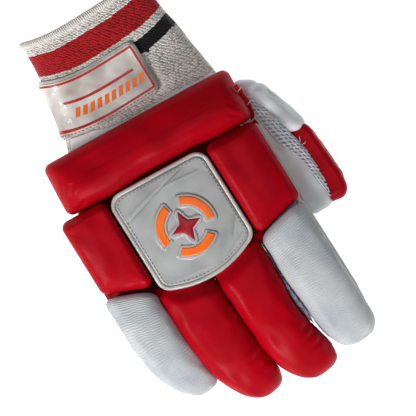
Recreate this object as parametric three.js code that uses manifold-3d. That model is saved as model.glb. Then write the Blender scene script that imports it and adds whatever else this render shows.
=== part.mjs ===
// A right-hand cricket batting glove that lies palm down, in millimetres. +Z is up, +X points to
// the thumb and +Y to the cuff. The pieces are built around the badge's middle, and the whole is
// then moved so that the origin is at the middle of its footprint, on the resting plane.

import * as THREE from "three";
import { mergeVertices } from "three/addons/utils/BufferGeometryUtils.js";
import Module from "manifold-3d";

// Walls and clearances
const LEATHER_WALL = 1.6;
const KNIT_WALL = 2.6;
const GAP = 0.45; // between pieces that touch on the real glove
const LIFT = 0.8; // of a sheet over the rounded skin that it is sewn to
const PAD_SPACE = 1.1; // between two pads that stand side by side

// The hand: palm and back, from the knuckles to the wrist
const HAND_HALF_WIDTH = 62;
const HAND_LENGTH = 82;
const KNUCKLE_Y = -24;
const HAND_HEIGHT = 31;
const KNUCKLE_LIFT = 9; // how far the palm rises off the surface at the knuckles
const HAND_SQUARENESS = 3.2; // power of the rounded sections: 2 is an ellipse
const BACK_CROWN = 7; // how far the back falls from its middle to the sides
const SEAM_SHARE = 0.42; // height of the side seam between palm and back

// Fingers
const FINGER_LENGTH = 80.5;
const STALL_INSET = 2.3; // from a roll's flank in to its stall's
const STALL_HALF_HEIGHT = 10.5;
const STALL_END_ROUND = 8;
const ROLL_HALF_HEIGHT = 11.2;
const ROLL_WRAP = 4.2; // how far a roll's flanks come down over its stall
const ROLL_START_ROUND = 5.5;
const ROLL_TIP_ROUND = 10;
const FINGER_RISE = 9; // degrees that a finger climbs at the knuckle
const FINGER_CURL = 46; // degrees that it points down at its tip

// Pads on the back
const OUTLINE_STEP = 24; // longest straight step along a pad's outline
const BLOCK_THICKNESS = 20;
const BLOCK_EDGE_ROUND = 5.5;
const BLOCK_CORNER_ROUND = 4.5;
const BAR_THICKNESS = 23;
const BAR_EDGE_ROUND = 10;
const BAR_CORNER_ROUND = 4.5;
const BAR_INSET = 2.5; // of the bar's half length from the hand's half width
const BAR_HALF_WIDTH = 16.2;
const BAR_X = 5;
const BAR_SETBACK = 9; // from the wrist to the bar's middle
const BAR_TURN = -3.4; // degrees
const PAD_CROWN = 1.6;
const PAD_SINK = 9; // how far a pad's sides come down past the back's middle height

// Badge
const BADGE_X = -1.6;
const BADGE_HALF_WIDTH = 31.2;
const BADGE_OVERHANG = 3.4; // of its lower corners past the knuckles
const BADGE_BOW = 13; // from those corners to where the two halves of its lower edge meet
const BADGE_BOW_ROUND = 60; // rounds the lower edge off there
const BADGE_CORNER_ROUND = 8.5;
const BADGE_PAD_THICKNESS = 14;
const BADGE_SHEET = 1.8;
const BADGE_CROWN = 2.4;
const PIPING_RADIUS = 1.25;
const EMBLEM_RELIEF = 0.9;
const EMBLEM_RADIUS = 17;
const EMBLEM_STROKE = 4.7;
const EMBLEM_Y = -3;
const ARC_COUNT = 3;
const ARC_OPENING = 34; // degrees between two arcs
const STAR_RADIUS = 9.4;
const STAR_WAIST = 0.42; // share of the star's radius where its points meet
const STAR_POINTS = 4;

// Cuff, its strap and the facing at its foot
const CUFF_X = 11;
const CUFF_LENGTH = 72;
const CUFF_HALF_WIDTH = 41;
const CUFF_HEIGHT = 29;
const CUFF_BOW = 8; // how far the cuff's sides stand beyond its middle
const STRAP_SETBACK = 12.6; // from the cuff's foot to the strap
const STRAP_WIDTH = 32.8;
const STRAP_WALL = 1.6;
const STRAP_CORNER_ROUND = 4.5;
const STRAP_END_X = 27.6;
const STRAP_TAIL_X = 30; // where the strap ends on the palm side
const PANEL_WALL = 0.9;
const PANEL_MARGIN = 1.6;
const FACING_WALL = 1.3;
const FACING_REACH = 4.4; // how far the facing shows past the wrist bar

// Thumb
const THUMB_OFFSET = 9; // of its middle from the hand's side
const THUMB_SETBACK = 7; // of its root from the wrist
const THUMB_LENGTH = 87.5;
const THUMB_HALF_WIDTH = 9.5;
const THUMB_HEIGHT = 27;
const THUMB_ROLL_LENGTH = 50;
const THUMB_ROLL_THICKNESS = 9.6;
const THUMB_ROLL_HALF_HEIGHT = 12.2;
const THUMB_ROLL_ROUND = 5;
const THUMB_ROLL_TAPER = 15; // how far along it thins out to its tip
const THUMB_ROLL_TIP = 0.42; // share of its thickness at the tip
const WING_LENGTH = 42;
const WING_START = 3.5; // how far it begins past the thumb's root
const WING_OFFSET = 2; // how far it stands out from the thumb's side
const WING_HALF_WIDTH = 11.5;
const WING_THICKNESS = 6.5;
const WING_ROUND = 3.4;
const WING_LEAN = 58; // degrees between the wing's face and straight up
const MESH_WALL = 1;
const MESH_COLUMNS = 3;
const MESH_ROWS = 13;
const MESH_TIP_GAP = 4.6; // from the thumb's tip to the mesh
const MESH_ROOT_GAP = 10; // from the mesh to the thumb's root

// A finger's roll lies between two shares of the hand's half width, starts shares of its half
// width past the knuckles, on a sloped line, and has a length in shares of the longest one. Near
// is the little finger's side: a tip comes in by shares of the roll's half width there.
const FINGERS = [
  { name: "index", near: 0.487, far: 0.997, start: -0.02, slope: 0.19, length: 0.93, sway: 1,
    nearRun: 1.6, nearDepth: 0.87, farRun: 0.6, farDepth: 0.4 },
  { name: "middle", near: -0.055, far: 0.462, start: 0.12, slope: 0.05, length: 1, sway: 8,
    nearRun: 1.65, nearDepth: 1.15, farRun: 0.55, farDepth: 0.35 },
  { name: "ring", near: -0.592, far: -0.068, start: 0.05, slope: -0.1, length: 0.92, sway: 9,
    nearRun: 2.2, nearDepth: 1.2, farRun: 0.7, farDepth: 0.4 },
  { name: "little", near: -1.035, far: -0.588, start: -0.55, slope: -0.42, length: 0.655, sway: 9,
    nearRun: 2.4, nearDepth: 1.25, farRun: 0.7, farDepth: 0.4 },
];

// Sections of the hand, from the knuckles to the wrist: shares of the hand's length, half
// width, knuckle lift and height. A bottom below zero is pressed flat by the surface.
const HAND_SHAPE = [
  { along: 0, left: -1.02, right: 0.985, bottom: 1, top: 1 },
  { along: 0.16, left: -1.01, right: 0.985, bottom: 0.12, top: 1.02 },
  { along: 0.3, left: -1.0, right: 0.98, bottom: -0.1, top: 1.02 },
  { along: 0.55, left: -0.93, right: 0.98, bottom: -0.1, top: 1 },
  { along: 0.8, left: -0.78, right: 0.98, bottom: -0.1, top: 0.95 },
  { along: 1, left: -0.68, right: 0.97, bottom: -0.1, top: 0.9 },
];

// Sections of the cuff, from its foot to its rim: shares of its length, half width, height and
// bow, and of the strap's room that keeps it off the surface.
const CUFF_SHAPE = [
  { along: 0, left: -1.29, right: 1.2, top: 0.96, bowLeft: 0, bowRight: 0, floor: 0 },
  { along: 0.12, left: -1.14, right: 1.16, top: 0.92, bowLeft: 0.5, bowRight: 0.3, floor: 1 },
  { along: 0.3, left: -1.02, right: 1.11, top: 0.92, bowLeft: 1, bowRight: 0.65, floor: 1 },
  { along: 0.65, left: -0.96, right: 1.02, top: 0.95, bowLeft: 1, bowRight: 0.65, floor: 1 },
  { along: 0.93, left: -0.94, right: 0.98, top: 0.98, bowLeft: 0.7, bowRight: 0.6, floor: 1 },
  { along: 1, left: -0.95, right: 0.97, top: 1, bowLeft: 0.62, bowRight: 0.6, floor: 1 },
];

// Sections of the thumb, from its tip to its root: shares of its length, half width and height.
const THUMB_SHAPE = [
  { along: 0, left: -0.45, right: 0.45, bottom: 0.26, top: 0.7 },
  { along: 0.02, left: -0.72, right: 0.7, bottom: 0.12, top: 0.84 },
  { along: 0.07, left: -0.82, right: 0.86, bottom: 0.02, top: 0.93 },
  { along: 0.2, left: -0.83, right: 0.97, bottom: -0.04, top: 0.98 },
  { along: 0.38, left: -0.86, right: 0.97, bottom: -0.04, top: 1 },
  { along: 0.55, left: -1.7, right: 0.7, bottom: -0.04, top: 1.02 },
  { along: 0.75, left: -2, right: 0.3, bottom: -0.04, top: 1 },
  { along: 0.93, left: -2, right: -0.1, bottom: 0.02, top: 0.9 },
  { along: 1, left: -1.8, right: -0.6, bottom: 0.2, top: 0.7 },
];

// The mesh strip's two edges: degrees round the thumb at shares of its length
const MESH_SHAPE = [
  { along: 0.05, near: 62, far: 27 },
  { along: 0.25, near: 84, far: 40 },
  { along: 0.42, near: 92, far: 50 },
  { along: 0.59, near: 90, far: 44 },
  { along: 0.76, near: 86, far: 48 },
  { along: 0.9, near: 84, far: 54 },
];

// The wing's outline in its own plane, from its root: shares of its length and half width.
const WING_SHAPE = [
  { along: 0, across: 0.95 },
  { along: 1, across: 0.1 },
  { along: 1, across: -0.95 },
  { along: 0.75, across: -1 },
  { along: 0.08, across: -0.25 },
];

const wasm = await Module();
wasm.setup();

const radians = THREE.MathUtils.degToRad;
const lerp = THREE.MathUtils.lerp;
const range = (count) => Array.from({ length: count }, (_, i) => i);

// Bodies from rings of points, and from a grid of cells with two faces

function closedBody(points, triangles) {
  const corner = range(3).map(() => new THREE.Vector3());
  const volume = triangles.reduce((sum, triangle) => {
    const [a, b, c] = triangle.map((id, k) => corner[k].set(...points[id]));
    return sum + a.dot(b.cross(c));
  }, 0);
  const outward = volume < 0 ? triangles.map(([i, j, k]) => [i, k, j]) : triangles;
  const geometry = new THREE.BufferGeometry();
  geometry.setAttribute("position", new THREE.Float32BufferAttribute(points.flat(), 3));
  geometry.setIndex(outward.flat());
  return geometry;
}

function loft(rings) {
  const sides = rings[0].length;
  const points = rings.flat();
  const triangles = [];
  for (let r = 0; r + 1 < rings.length; r++) {
    for (let s = 0; s < sides; s++) {
      const [p, q] = [r * sides + s, r * sides + ((s + 1) % sides)];
      triangles.push([p, q, q + sides], [p, q + sides, p + sides]);
    }
  }
  for (const [start, flip] of [[0, true], [(rings.length - 1) * sides, false]]) {
    const middle = points.length;
    points.push([0, 1, 2].map((k) => points.slice(start, start + sides)
      .reduce((sum, p) => sum + p[k], 0) / sides));
    for (let s = 0; s < sides; s++) {
      const [p, q] = [start + s, start + ((s + 1) % sides)];
      triangles.push(flip ? [middle, q, p] : [middle, p, q]);
    }
  }
  return closedBody(points, triangles);
}

// pointAt(u, v, face) gives the points of both faces, with u and v from 0 to 1, and
// isHole(column, row) says which cells are cut through.
function sheet(columns, rows, pointAt, isHole = () => false) {
  const points = [];
  const triangles = [];
  const id = (face, i, j) => (face * (rows + 1) + j) * (columns + 1) + i;
  for (const face of [0, 1]) {
    for (const j of range(rows + 1)) {
      for (const i of range(columns + 1)) points.push(pointAt(i / columns, j / rows, face));
    }
  }
  const quad = (a, b, c, d) => triangles.push([a, b, c], [a, c, d]);
  const isSolid = (i, j) => i >= 0 && j >= 0 && i < columns && j < rows && !isHole(i, j);
  const wall = (i0, j0, i1, j1) =>
    quad(id(0, i0, j0), id(0, i1, j1), id(1, i1, j1), id(1, i0, j0));
  for (const j of range(rows)) {
    for (const i of range(columns)) {
      if (!isSolid(i, j)) continue;
      quad(id(0, i, j), id(0, i, j + 1), id(0, i + 1, j + 1), id(0, i + 1, j));
      quad(id(1, i, j), id(1, i + 1, j), id(1, i + 1, j + 1), id(1, i, j + 1));
      if (!isSolid(i, j - 1)) wall(i, j, i + 1, j);
      if (!isSolid(i + 1, j)) wall(i + 1, j, i + 1, j + 1);
      if (!isSolid(i, j + 1)) wall(i + 1, j + 1, i, j + 1);
      if (!isSolid(i - 1, j)) wall(i, j + 1, i, j);
    }
  }
  return closedBody(points, triangles);
}

// Solids for cutting and joining

function solid(geometry) {
  const merged = mergeVertices(geometry, 1e-4);
  return new wasm.Manifold(new wasm.Mesh({
    numProp: 3,
    vertProperties: merged.attributes.position.array,
    triVerts: new Uint32Array(merged.index.array),
  }));
}

// Takes cutters away from a body and keeps the largest piece of what is left.
function trimmed(body, ...cutters) {
  const left = cutters.reduce((rest, cutter) => rest.subtract(cutter), body);
  return left.decompose().sort((a, b) => b.volume() - a.volume())[0];
}

function flatShaded(body) {
  if (body.isBufferGeometry) return body.toNonIndexed();
  const { vertProperties, triVerts } = body.getMesh();
  const geometry = new THREE.BufferGeometry();
  geometry.setAttribute("position", new THREE.BufferAttribute(vertProperties, 3));
  geometry.setIndex(new THREE.BufferAttribute(triVerts, 1));
  return geometry.toNonIndexed();
}

// Skins: rounded sections across Y with a left and a right side, a bottom and a top. A skin is
// grown outwards for a clearance or inwards for a wall, and never goes below its floor.

const power = (value, exponent) => Math.sign(value) * Math.abs(value) ** exponent;

// Reads a column of a table at a place between its rows, on a smooth curve through them.
function column(rows, key, place) {
  const last = rows.length - 1;
  const after = rows.findIndex((row) => row.y > place);
  const at = after < 0 ? last - 1 : Math.max(after - 1, 0);
  const [before, low, high, beyond] = [at - 1, at, at + 1, at + 2]
    .map((k) => rows[THREE.MathUtils.clamp(k, 0, last)]);
  const span = high.y - low.y;
  const t = THREE.MathUtils.clamp((place - low.y) / span, 0, 1);
  const slopeLow = (high[key] - before[key]) / (high.y - before.y);
  const slopeHigh = (beyond[key] - low[key]) / (beyond.y - low.y);
  return lerp(low[key], high[key], t * t * (3 - 2 * t))
    + t * (1 - t) * (1 - t) * span * slopeLow + t * t * (t - 1) * span * slopeHigh;
}

function skinPoint({ rows, squareness }, place, angle, grow) {
  const [left, right, bottom, top, floor] = ["left", "right", "bottom", "top", "floor"]
    .map((key) => column(rows, key, place));
  const [across, up] = [Math.cos(angle), Math.sin(angle)].map((v) => power(v, 2 / squareness));
  const bow = column(rows, across < 0 ? "bowLeft" : "bowRight", place) * Math.cos(angle) ** 2;
  const x = (left + right) / 2 + ((right - left) / 2 + grow) * across;
  const z = (bottom + top) / 2 + ((top - bottom) / 2 + grow) * up;
  return [x, place + bow, Math.max(z, floor - grow)];
}

function skinSolid(skin, grow, from, to, steps, sides) {
  return solid(loft(range(steps + 1).map((step) => range(sides).map((side) =>
    skinPoint(skin, lerp(from, to, step / steps), ((side + 0.5) / sides) * 2 * Math.PI, grow)))));
}

const flat = { bowLeft: 0, bowRight: 0, floor: 0 };
const WRIST_Y = KNUCKLE_Y + HAND_LENGTH;

const hand = {
  squareness: HAND_SQUARENESS,
  rows: HAND_SHAPE.map((row) => ({
    ...flat,
    y: lerp(KNUCKLE_Y, WRIST_Y, row.along),
    left: row.left * HAND_HALF_WIDTH,
    right: row.right * HAND_HALF_WIDTH,
    bottom: row.bottom * KNUCKLE_LIFT,
    top: row.top * HAND_HEIGHT,
  })),
};

const CUFF_FOOT_Y = WRIST_Y + GAP;
const RIM_Y = CUFF_FOOT_Y + CUFF_LENGTH;
const cuff = {
  squareness: HAND_SQUARENESS,
  rows: CUFF_SHAPE.map((row) => ({
    y: lerp(CUFF_FOOT_Y, RIM_Y, row.along),
    left: CUFF_X + row.left * CUFF_HALF_WIDTH,
    right: CUFF_X + row.right * CUFF_HALF_WIDTH,
    bottom: 0,
    top: row.top * CUFF_HEIGHT,
    bowLeft: row.bowLeft * CUFF_BOW,
    bowRight: row.bowRight * CUFF_BOW,
    floor: row.floor * (LIFT + STRAP_WALL),
  })),
};

const THUMB_X = HAND_HALF_WIDTH + THUMB_OFFSET;
const THUMB_TOP_Y = WRIST_Y - THUMB_SETBACK;
const THUMB_TIP_Y = THUMB_TOP_Y - THUMB_LENGTH;
const thumb = {
  squareness: HAND_SQUARENESS,
  rows: THUMB_SHAPE.map((row) => ({
    ...flat,
    y: lerp(THUMB_TIP_Y, THUMB_TOP_Y, row.along),
    left: THUMB_X + row.left * THUMB_HALF_WIDTH,
    right: THUMB_X + row.right * THUMB_HALF_WIDTH,
    bottom: row.bottom * THUMB_HEIGHT,
    top: row.top * THUMB_HEIGHT,
  })),
};

const HAND_STEPS = 7;
const HAND_SIDES = 24;
const CUFF_STEPS = 7;
const CUFF_SIDES = 24;
const THUMB_STEPS = 10;
const THUMB_SIDES = 16;
const handSkin = (grow, shorten = 0) =>
  skinSolid(hand, grow, KNUCKLE_Y + shorten, WRIST_Y, HAND_STEPS, HAND_SIDES);
const handClear = handSkin(GAP, -GAP);
const cuffSkin = (grow, lengthen = 0) =>
  skinSolid(cuff, grow, CUFF_FOOT_Y - lengthen, RIM_Y + lengthen, CUFF_STEPS, CUFF_SIDES);
const thumbSkin = (grow) =>
  skinSolid(thumb, grow, THUMB_TIP_Y - grow, THUMB_TOP_Y + grow, THUMB_STEPS, THUMB_SIDES);

// Height of the back of the hand below a pad
function backHeight(x, y) {
  return column(hand.rows, "top", Math.min(y, WRIST_Y)) - BACK_CROWN * (x / HAND_HALF_WIDTH) ** 2;
}

// Fingers: a middle line that climbs from the knuckle, then curls down and sways to the thumb

const WALK_STEPS = 24;
const KNUCKLE_MIDDLE = (KNUCKLE_LIFT + HAND_HEIGHT) / 2;
const ROLL_LOW = STALL_HALF_HEIGHT - ROLL_WRAP;
const ROLL_HIGH = ROLL_LOW + 2 * ROLL_HALF_HEIGHT;

const fingers = FINGERS.map((row) => {
  const [near, far] = [row.near * HAND_HALF_WIDTH + PAD_SPACE / 2,
    row.far * HAND_HALF_WIDTH - PAD_SPACE / 2];
  const half = (far - near) / 2;
  return { ...row, x: (near + far) / 2, half, length: row.length * FINGER_LENGTH,
    startY: KNUCKLE_Y - row.start * half };
});
const [index, , , little] = fingers;

function fingerDirections(finger, along) {
  const share = Math.max(along / finger.length, 0) ** 1.5;
  const pitch = radians(lerp(-FINGER_RISE, FINGER_CURL, share));
  const yaw = radians(finger.sway * share);
  const level = new THREE.Vector3(Math.sin(yaw), -Math.cos(yaw), 0);
  const vertical = new THREE.Vector3(0, 0, 1);
  return {
    forward: level.clone().multiplyScalar(Math.cos(pitch))
      .addScaledVector(vertical, -Math.sin(pitch)),
    side: new THREE.Vector3(Math.cos(yaw), Math.sin(yaw), 0),
    up: level.clone().multiplyScalar(Math.sin(pitch)).addScaledVector(vertical, Math.cos(pitch)),
  };
}

function fingerFrame(finger, along) {
  const middle = new THREE.Vector3(finger.x, KNUCKLE_Y - GAP, KNUCKLE_MIDDLE);
  for (const step of range(WALK_STEPS)) {
    const { forward } = fingerDirections(finger, (along * (step + 0.5)) / WALK_STEPS);
    middle.addScaledVector(forward, along / WALK_STEPS);
  }
  return { middle, ...fingerDirections(finger, along) };
}

// A rounded section across a finger, kept above a floor
function fingerRing(frame, [near, far], [low, high], sides, floor, shear = () => 0) {
  return range(sides).map((side) => {
    const angle = ((side + 0.5) / sides) * 2 * Math.PI;
    const [cos, sin] = [Math.cos(angle), Math.sin(angle)]
      .map((v) => power(v, 2 / HAND_SQUARENESS));
    const across = lerp(near, far, (1 + cos) / 2);
    const up = lerp(low, high, (1 + sin) / 2);
    const { x, y, z } = frame.middle.clone().addScaledVector(frame.side, across)
      .addScaledVector(frame.up, up).addScaledVector(frame.forward, shear(across));
    return [x, y, Math.max(z, floor)];
  });
}

// How far a rounded end comes in, at a distance from it, for a round of that run and depth
const endRound = (distance, run, depth) =>
  distance >= run ? 0 : depth * (1 - Math.sqrt(1 - (1 - distance / run) ** 2));

function stallSolid(finger, grow, from) {
  const to = finger.length + grow;
  const places = [...range(5).map((i) => lerp(from, to - STALL_END_ROUND, i / 4)),
    ...[0.55, 1].map((share) => to - STALL_END_ROUND * (1 - share))];
  return solid(loft(places.map((along) => {
    const inset = endRound(to - along, STALL_END_ROUND, STALL_END_ROUND * 0.75);
    const half = finger.half - STALL_INSET + grow - inset;
    const tall = STALL_HALF_HEIGHT + grow - inset;
    return fingerRing(fingerFrame(finger, along), [-half, half], [-tall, tall], 12, -grow);
  })));
}

function rollSolid(finger) {
  const lean = ROLL_HIGH * Math.tan(radians(FINGER_RISE)); // keeps its top behind the start line
  const from = KNUCKLE_Y - finger.startY + lean;
  const to = finger.length + GAP;
  const [nearRun, nearDepth, farRun, farDepth] =
    [finger.nearRun, finger.nearDepth, finger.farRun, finger.farDepth]
      .map((share) => share * finger.half);
  const starts = [0, 0.3, 1].map((share) => from + ROLL_START_ROUND * share);
  const tips = [0, 0.35, 0.65, 0.86, 1].map((share) => to - nearRun * (1 - share));
  const places = [...starts, lerp(starts.at(-1), tips[0], 0.5), ...tips];
  return solid(loft(places.map((along) => {
    const startInset = endRound(along - from, ROLL_START_ROUND, ROLL_START_ROUND);
    const tipInset = endRound(to - along, ROLL_TIP_ROUND, ROLL_TIP_ROUND * 0.7);
    const near = -finger.half + startInset + endRound(to - along, nearRun, nearDepth);
    const far = finger.half - startInset - endRound(to - along, farRun, farDepth);
    const fade = Math.max(1 - (along - from) / (2 * finger.half), 0);
    return fingerRing(fingerFrame(finger, along), [near, far],
      [ROLL_LOW + tipInset, ROLL_HIGH - startInset - tipInset], 14, 0,
      (across) => -finger.slope * across * fade);
  })));
}

const stallsClear = fingers.map((finger) => stallSolid(finger, GAP, -GAP));

// Pads: rounded outlines that stand on the back with soft edges and a crowned face

// A polygon's sides moved in by an inset and its corners rounded, with the same number of
// points at every inset
function roundedOutline(corners, inset) {
  const count = corners.length;
  const arcSteps = 3;
  const edges = corners.map((corner, i) => {
    const next = corners[(i + 1) % count];
    const side = new THREE.Vector2(next.x - corner.x, next.y - corner.y);
    const along = side.clone().normalize();
    const inward = new THREE.Vector2(-along.y, along.x);
    const from = new THREE.Vector2(corner.x, corner.y).addScaledVector(inward, inset);
    return { from, along, inward, steps: Math.ceil(side.length() / OUTLINE_STEP) };
  });
  const arcs = corners.map((corner, i) => {
    const before = edges[(i + count - 1) % count];
    const { from, along } = edges[i];
    const reach = new THREE.Vector2().subVectors(from, before.from).cross(along)
      / before.along.cross(along);
    const turn = Math.acos(THREE.MathUtils.clamp(before.along.dot(along), -1, 1));
    const radius = Math.max(corner.round - inset, 0.8);
    const start = before.from.clone()
      .addScaledVector(before.along, reach - radius * Math.tan(turn / 2));
    const centre = start.clone().addScaledVector(before.inward, radius);
    return range(arcSteps + 1).map((step) =>
      start.clone().rotateAround(centre, (turn * step) / arcSteps));
  });
  return arcs.flatMap((arc, i) => {
    const next = arcs[(i + 1) % count][0];
    const { steps } = edges[i];
    const straight = range(steps - 1).map((step) => arc[arcSteps].clone()
      .lerp(next, (step + 1) / steps));
    return [...arc, ...straight];
  });
}

// Rings of a pad in its own frame: x and y in the outline's plane, z above it
function padRings(corners, { sink, thickness, round }) {
  const insets = [[0, -sink], [0, thickness - round]];
  for (const turn of [35, 65, 90].map(radians)) {
    insets.push([round * (1 - Math.cos(turn)), thickness - round * (1 - Math.sin(turn))]);
  }
  const rings = insets.map(([inset, height]) =>
    roundedOutline(corners, inset).map(({ x, y }) => [x, y, height]));
  const edge = rings.at(-1);
  const middle = [0, 1].map((k) => edge.reduce((sum, p) => sum + p[k], 0) / edge.length);
  for (const share of [0.6, 0.25]) {
    rings.push(edge.map(([x, y]) => [lerp(middle[0], x, share), lerp(middle[1], y, share),
      thickness + PAD_CROWN * (1 - share * share)]));
  }
  return rings;
}

const mapRings = (rings, move) => rings.map((ring) => ring.map(move));
const padOnBack = (corners, sizes) => solid(loft(mapRings(padRings(corners, sizes),
  ([x, y, z]) => [x, y, z + backHeight(x, y)])));

// Hand: two leather shells that meet at a side seam, open to the fingers, thumb and cuff

const thumbInside = thumbSkin(-LEATHER_WALL);

function handShell() {
  const inside = skinSolid(hand, -LEATHER_WALL, KNUCKLE_Y + LEATHER_WALL,
    WRIST_Y + LEATHER_WALL, HAND_STEPS, HAND_SIDES);
  const bores = fingers.map((finger) => stallSolid(finger, -LEATHER_WALL, -4 * LEATHER_WALL));
  return trimmed(handSkin(0), inside, thumbInside, ...bores);
}

// The space above or below the side seam
function seamSide(isAbove) {
  const reach = 2 * HAND_HALF_WIDTH;
  const places = range(9).map((i) => lerp(KNUCKLE_Y - GAP, WRIST_Y + GAP, i / 8));
  const seam = (y) => lerp(column(hand.rows, "bottom", y), column(hand.rows, "top", y), SEAM_SHARE);
  const far = isAbove ? 2 * HAND_HEIGHT : -HAND_HEIGHT;
  const profile = [...places.map((y) => [y, seam(y) + (isAbove ? GAP : -GAP) / 2]),
    [places.at(-1), far], [places[0], far]];
  return solid(loft([-reach, reach].map((x) => profile.map(([y, z]) => [x, y, z]))));
}

// Bands that follow the cuff at a lift above it

function cuffAngle(place, x, isTop) {
  const [left, right] = ["left", "right"].map((key) => column(cuff.rows, key, place));
  const across = THREE.MathUtils.clamp((x - (left + right) / 2) / ((right - left) / 2), -1, 1);
  const angle = Math.acos(power(across, cuff.squareness / 2));
  return isTop ? angle : 2 * Math.PI - angle;
}

const STRAP_LOW_Y = CUFF_FOOT_Y + STRAP_SETBACK;
const STRAP_HIGH_Y = STRAP_LOW_Y + STRAP_WIDTH;

// A band of the strap's outline, less a margin, that runs round the little finger's side to
// an angle given at each place
function strapBand(margin, low, high, tailAt) {
  const [from, to] = [STRAP_LOW_Y + margin, STRAP_HIGH_Y - margin];
  const round = Math.max(STRAP_CORNER_ROUND - margin, GAP);
  return sheet(15, 4, (u, v, face) => {
    const place = lerp(from, to, (1 - Math.cos(Math.PI * v)) / 2);
    const end = STRAP_END_X - margin - endRound(Math.min(place - from, to - place), round, round);
    const angle = lerp(cuffAngle(place, end, true), tailAt(place), u);
    return skinPoint(cuff, place, angle, face ? high : low);
  });
}

function wristFacing() {
  const foot = CUFF_FOOT_Y + GAP;
  const wave = (x) => 0.45 + 0.55 * Math.sin((x / CUFF_HALF_WIDTH) * 4.2 + 3.9);
  return sheet(14, 2, (u, v, face) => {
    const angle = lerp(radians(28), radians(152), u);
    const [x] = skinPoint(cuff, foot, angle, LIFT);
    const barTop = barEdge(x, 1);
    const edge = Math.min(barTop + FACING_REACH * wave(x), STRAP_LOW_Y - 2 * GAP);
    return skinPoint(cuff, lerp(foot, edge, v), angle, LIFT + face * FACING_WALL);
  });
}

// The wrist bar, and the lines of its two long edges at x

const BAR_HALF_LENGTH = HAND_HALF_WIDTH - BAR_INSET;
const BAR_Y = WRIST_Y - BAR_SETBACK;
const barEdge = (x, side) =>
  BAR_Y + side * BAR_HALF_WIDTH + (x - BAR_X) * Math.tan(radians(BAR_TURN));

function wristBar(grow) {
  const corners = [[-1, -1], [1, -1], [1, 1], [-1, 1]].map(([x, y]) => {
    const turned = new THREE.Vector2(x * (BAR_HALF_LENGTH + grow), y * (BAR_HALF_WIDTH + grow))
      .rotateAround(new THREE.Vector2(), radians(BAR_TURN));
    return { x: BAR_X + turned.x, y: BAR_Y + turned.y, round: BAR_CORNER_ROUND };
  });
  return padOnBack(corners,
    { sink: PAD_SINK, thickness: BAR_THICKNESS, round: BAR_EDGE_ROUND });
}

// A side block fills the place between a finger's roll, the badge and the wrist bar.
function sideBlock(finger, inner, outer) {
  const corner = (x, y) => ({ x, y, round: BLOCK_CORNER_ROUND });
  const low = (x) => finger.startY + finger.slope * (x - finger.x) + PAD_SPACE;
  const high = (x) => barEdge(x, -1) - PAD_SPACE;
  const [west, east] = [Math.min(inner, outer), Math.max(inner, outer)];
  const corners = [corner(west, low(west)), corner(east, low(east)), corner(east, high(east)),
    corner(west, high(west))];
  return padOnBack(corners,
    { sink: PAD_SINK, thickness: BLOCK_THICKNESS, round: BLOCK_EDGE_ROUND });
}

// Badge: a pad, a moulded sheet on it with piping round its edge, and a raised emblem

const BADGE_LOW_Y = KNUCKLE_Y - BADGE_OVERHANG;
const BADGE_EDGES = [BADGE_X - BADGE_HALF_WIDTH, BADGE_X + BADGE_HALF_WIDTH];

function badgeOutline(inset) {
  const [west, east] = BADGE_EDGES;
  const corner = (x, y, round = BADGE_CORNER_ROUND) => ({ x, y, round });
  const top = (x) => barEdge(x, -1) - PAD_SPACE;
  return roundedOutline([corner(west, BADGE_LOW_Y),
    corner(BADGE_X, BADGE_LOW_Y - BADGE_BOW, BADGE_BOW_ROUND), corner(east, BADGE_LOW_Y),
    corner(east, top(east)), corner(west, top(west))], inset);
}

const badgeFace = (x, y) => backHeight(x, y) + BADGE_PAD_THICKNESS;

// A ring of the badge's outline, shrunk to a share about its middle
const badgeRing = (inset, share, height) => badgeOutline(inset).map(({ x, y }) => {
  const [px, py] = [lerp(BADGE_X, x, share), y * share];
  return [px, py, height(px, py)];
});
const badgeDome = (share, lift) => (x, y) =>
  badgeFace(x, y) + lift + BADGE_CROWN * (1 - share * share);

function badgeBody(inset, from, lift) {
  return loft([from, ...[1, 0.7, 0.3].map((share) =>
    badgeRing(inset, share, badgeDome(share, lift)))]);
}

const SHEET_INSET = 2 * PIPING_RADIUS + GAP;
const badgePad = () => solid(badgeBody(SHEET_INSET,
  badgeRing(SHEET_INSET, 1, (x, y) => backHeight(x, y) - PAD_SINK), 0));

function badgeSheet() {
  const under = [0.3, 0.7, 1].map((share) => badgeRing(SHEET_INSET, share, badgeDome(share, GAP)));
  const above = [1, 0.7, 0.3].map((share) =>
    badgeRing(SHEET_INSET, share, badgeDome(share, GAP + BADGE_SHEET)));
  return loft([...under, ...above]);
}

function badgePiping() {
  const sides = 5;
  const path = badgeOutline(PIPING_RADIUS);
  const rings = path.map((point, i) => {
    const before = path.at(i - 1);
    const after = path[(i + 1) % path.length];
    const outward = new THREE.Vector2(after.y - before.y, before.x - after.x).normalize();
    const height = badgeFace(point.x, point.y) + GAP;
    return range(sides).map((side) => {
      const angle = (side / sides) * 2 * Math.PI;
      const shift = PIPING_RADIUS * Math.cos(angle);
      return [point.x + outward.x * shift, point.y + outward.y * shift,
        height + PIPING_RADIUS * Math.sin(angle)];
    });
  });
  const triangles = range(rings.length).flatMap((r) => range(sides).flatMap((s) => {
    const [next, t] = [(r + 1) % rings.length, (s + 1) % sides];
    const [a, b, c, d] = [r * sides + s, r * sides + t, next * sides + t, next * sides + s];
    return [[a, b, c], [a, c, d]];
  }));
  return closedBody(rings.flat(), triangles);
}

// Keeps the finger rolls clear of the badge's edge, at every height.
function badgeClear() {
  const outline = badgeOutline(-PAD_SPACE / 2);
  return solid(loft([0, 3 * HAND_HEIGHT].map((z) => outline.map(({ x, y }) => [x, y, z]))));
}

// Height of the sheet's own face, on its dome
function sheetFace(x, y) {
  const reach = Math.hypot((x - BADGE_X) / BADGE_HALF_WIDTH, y / BADGE_HALF_WIDTH);
  return badgeFace(x, y) + GAP + BADGE_SHEET + BADGE_CROWN * (1 - Math.min(reach, 1) ** 2);
}

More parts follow.
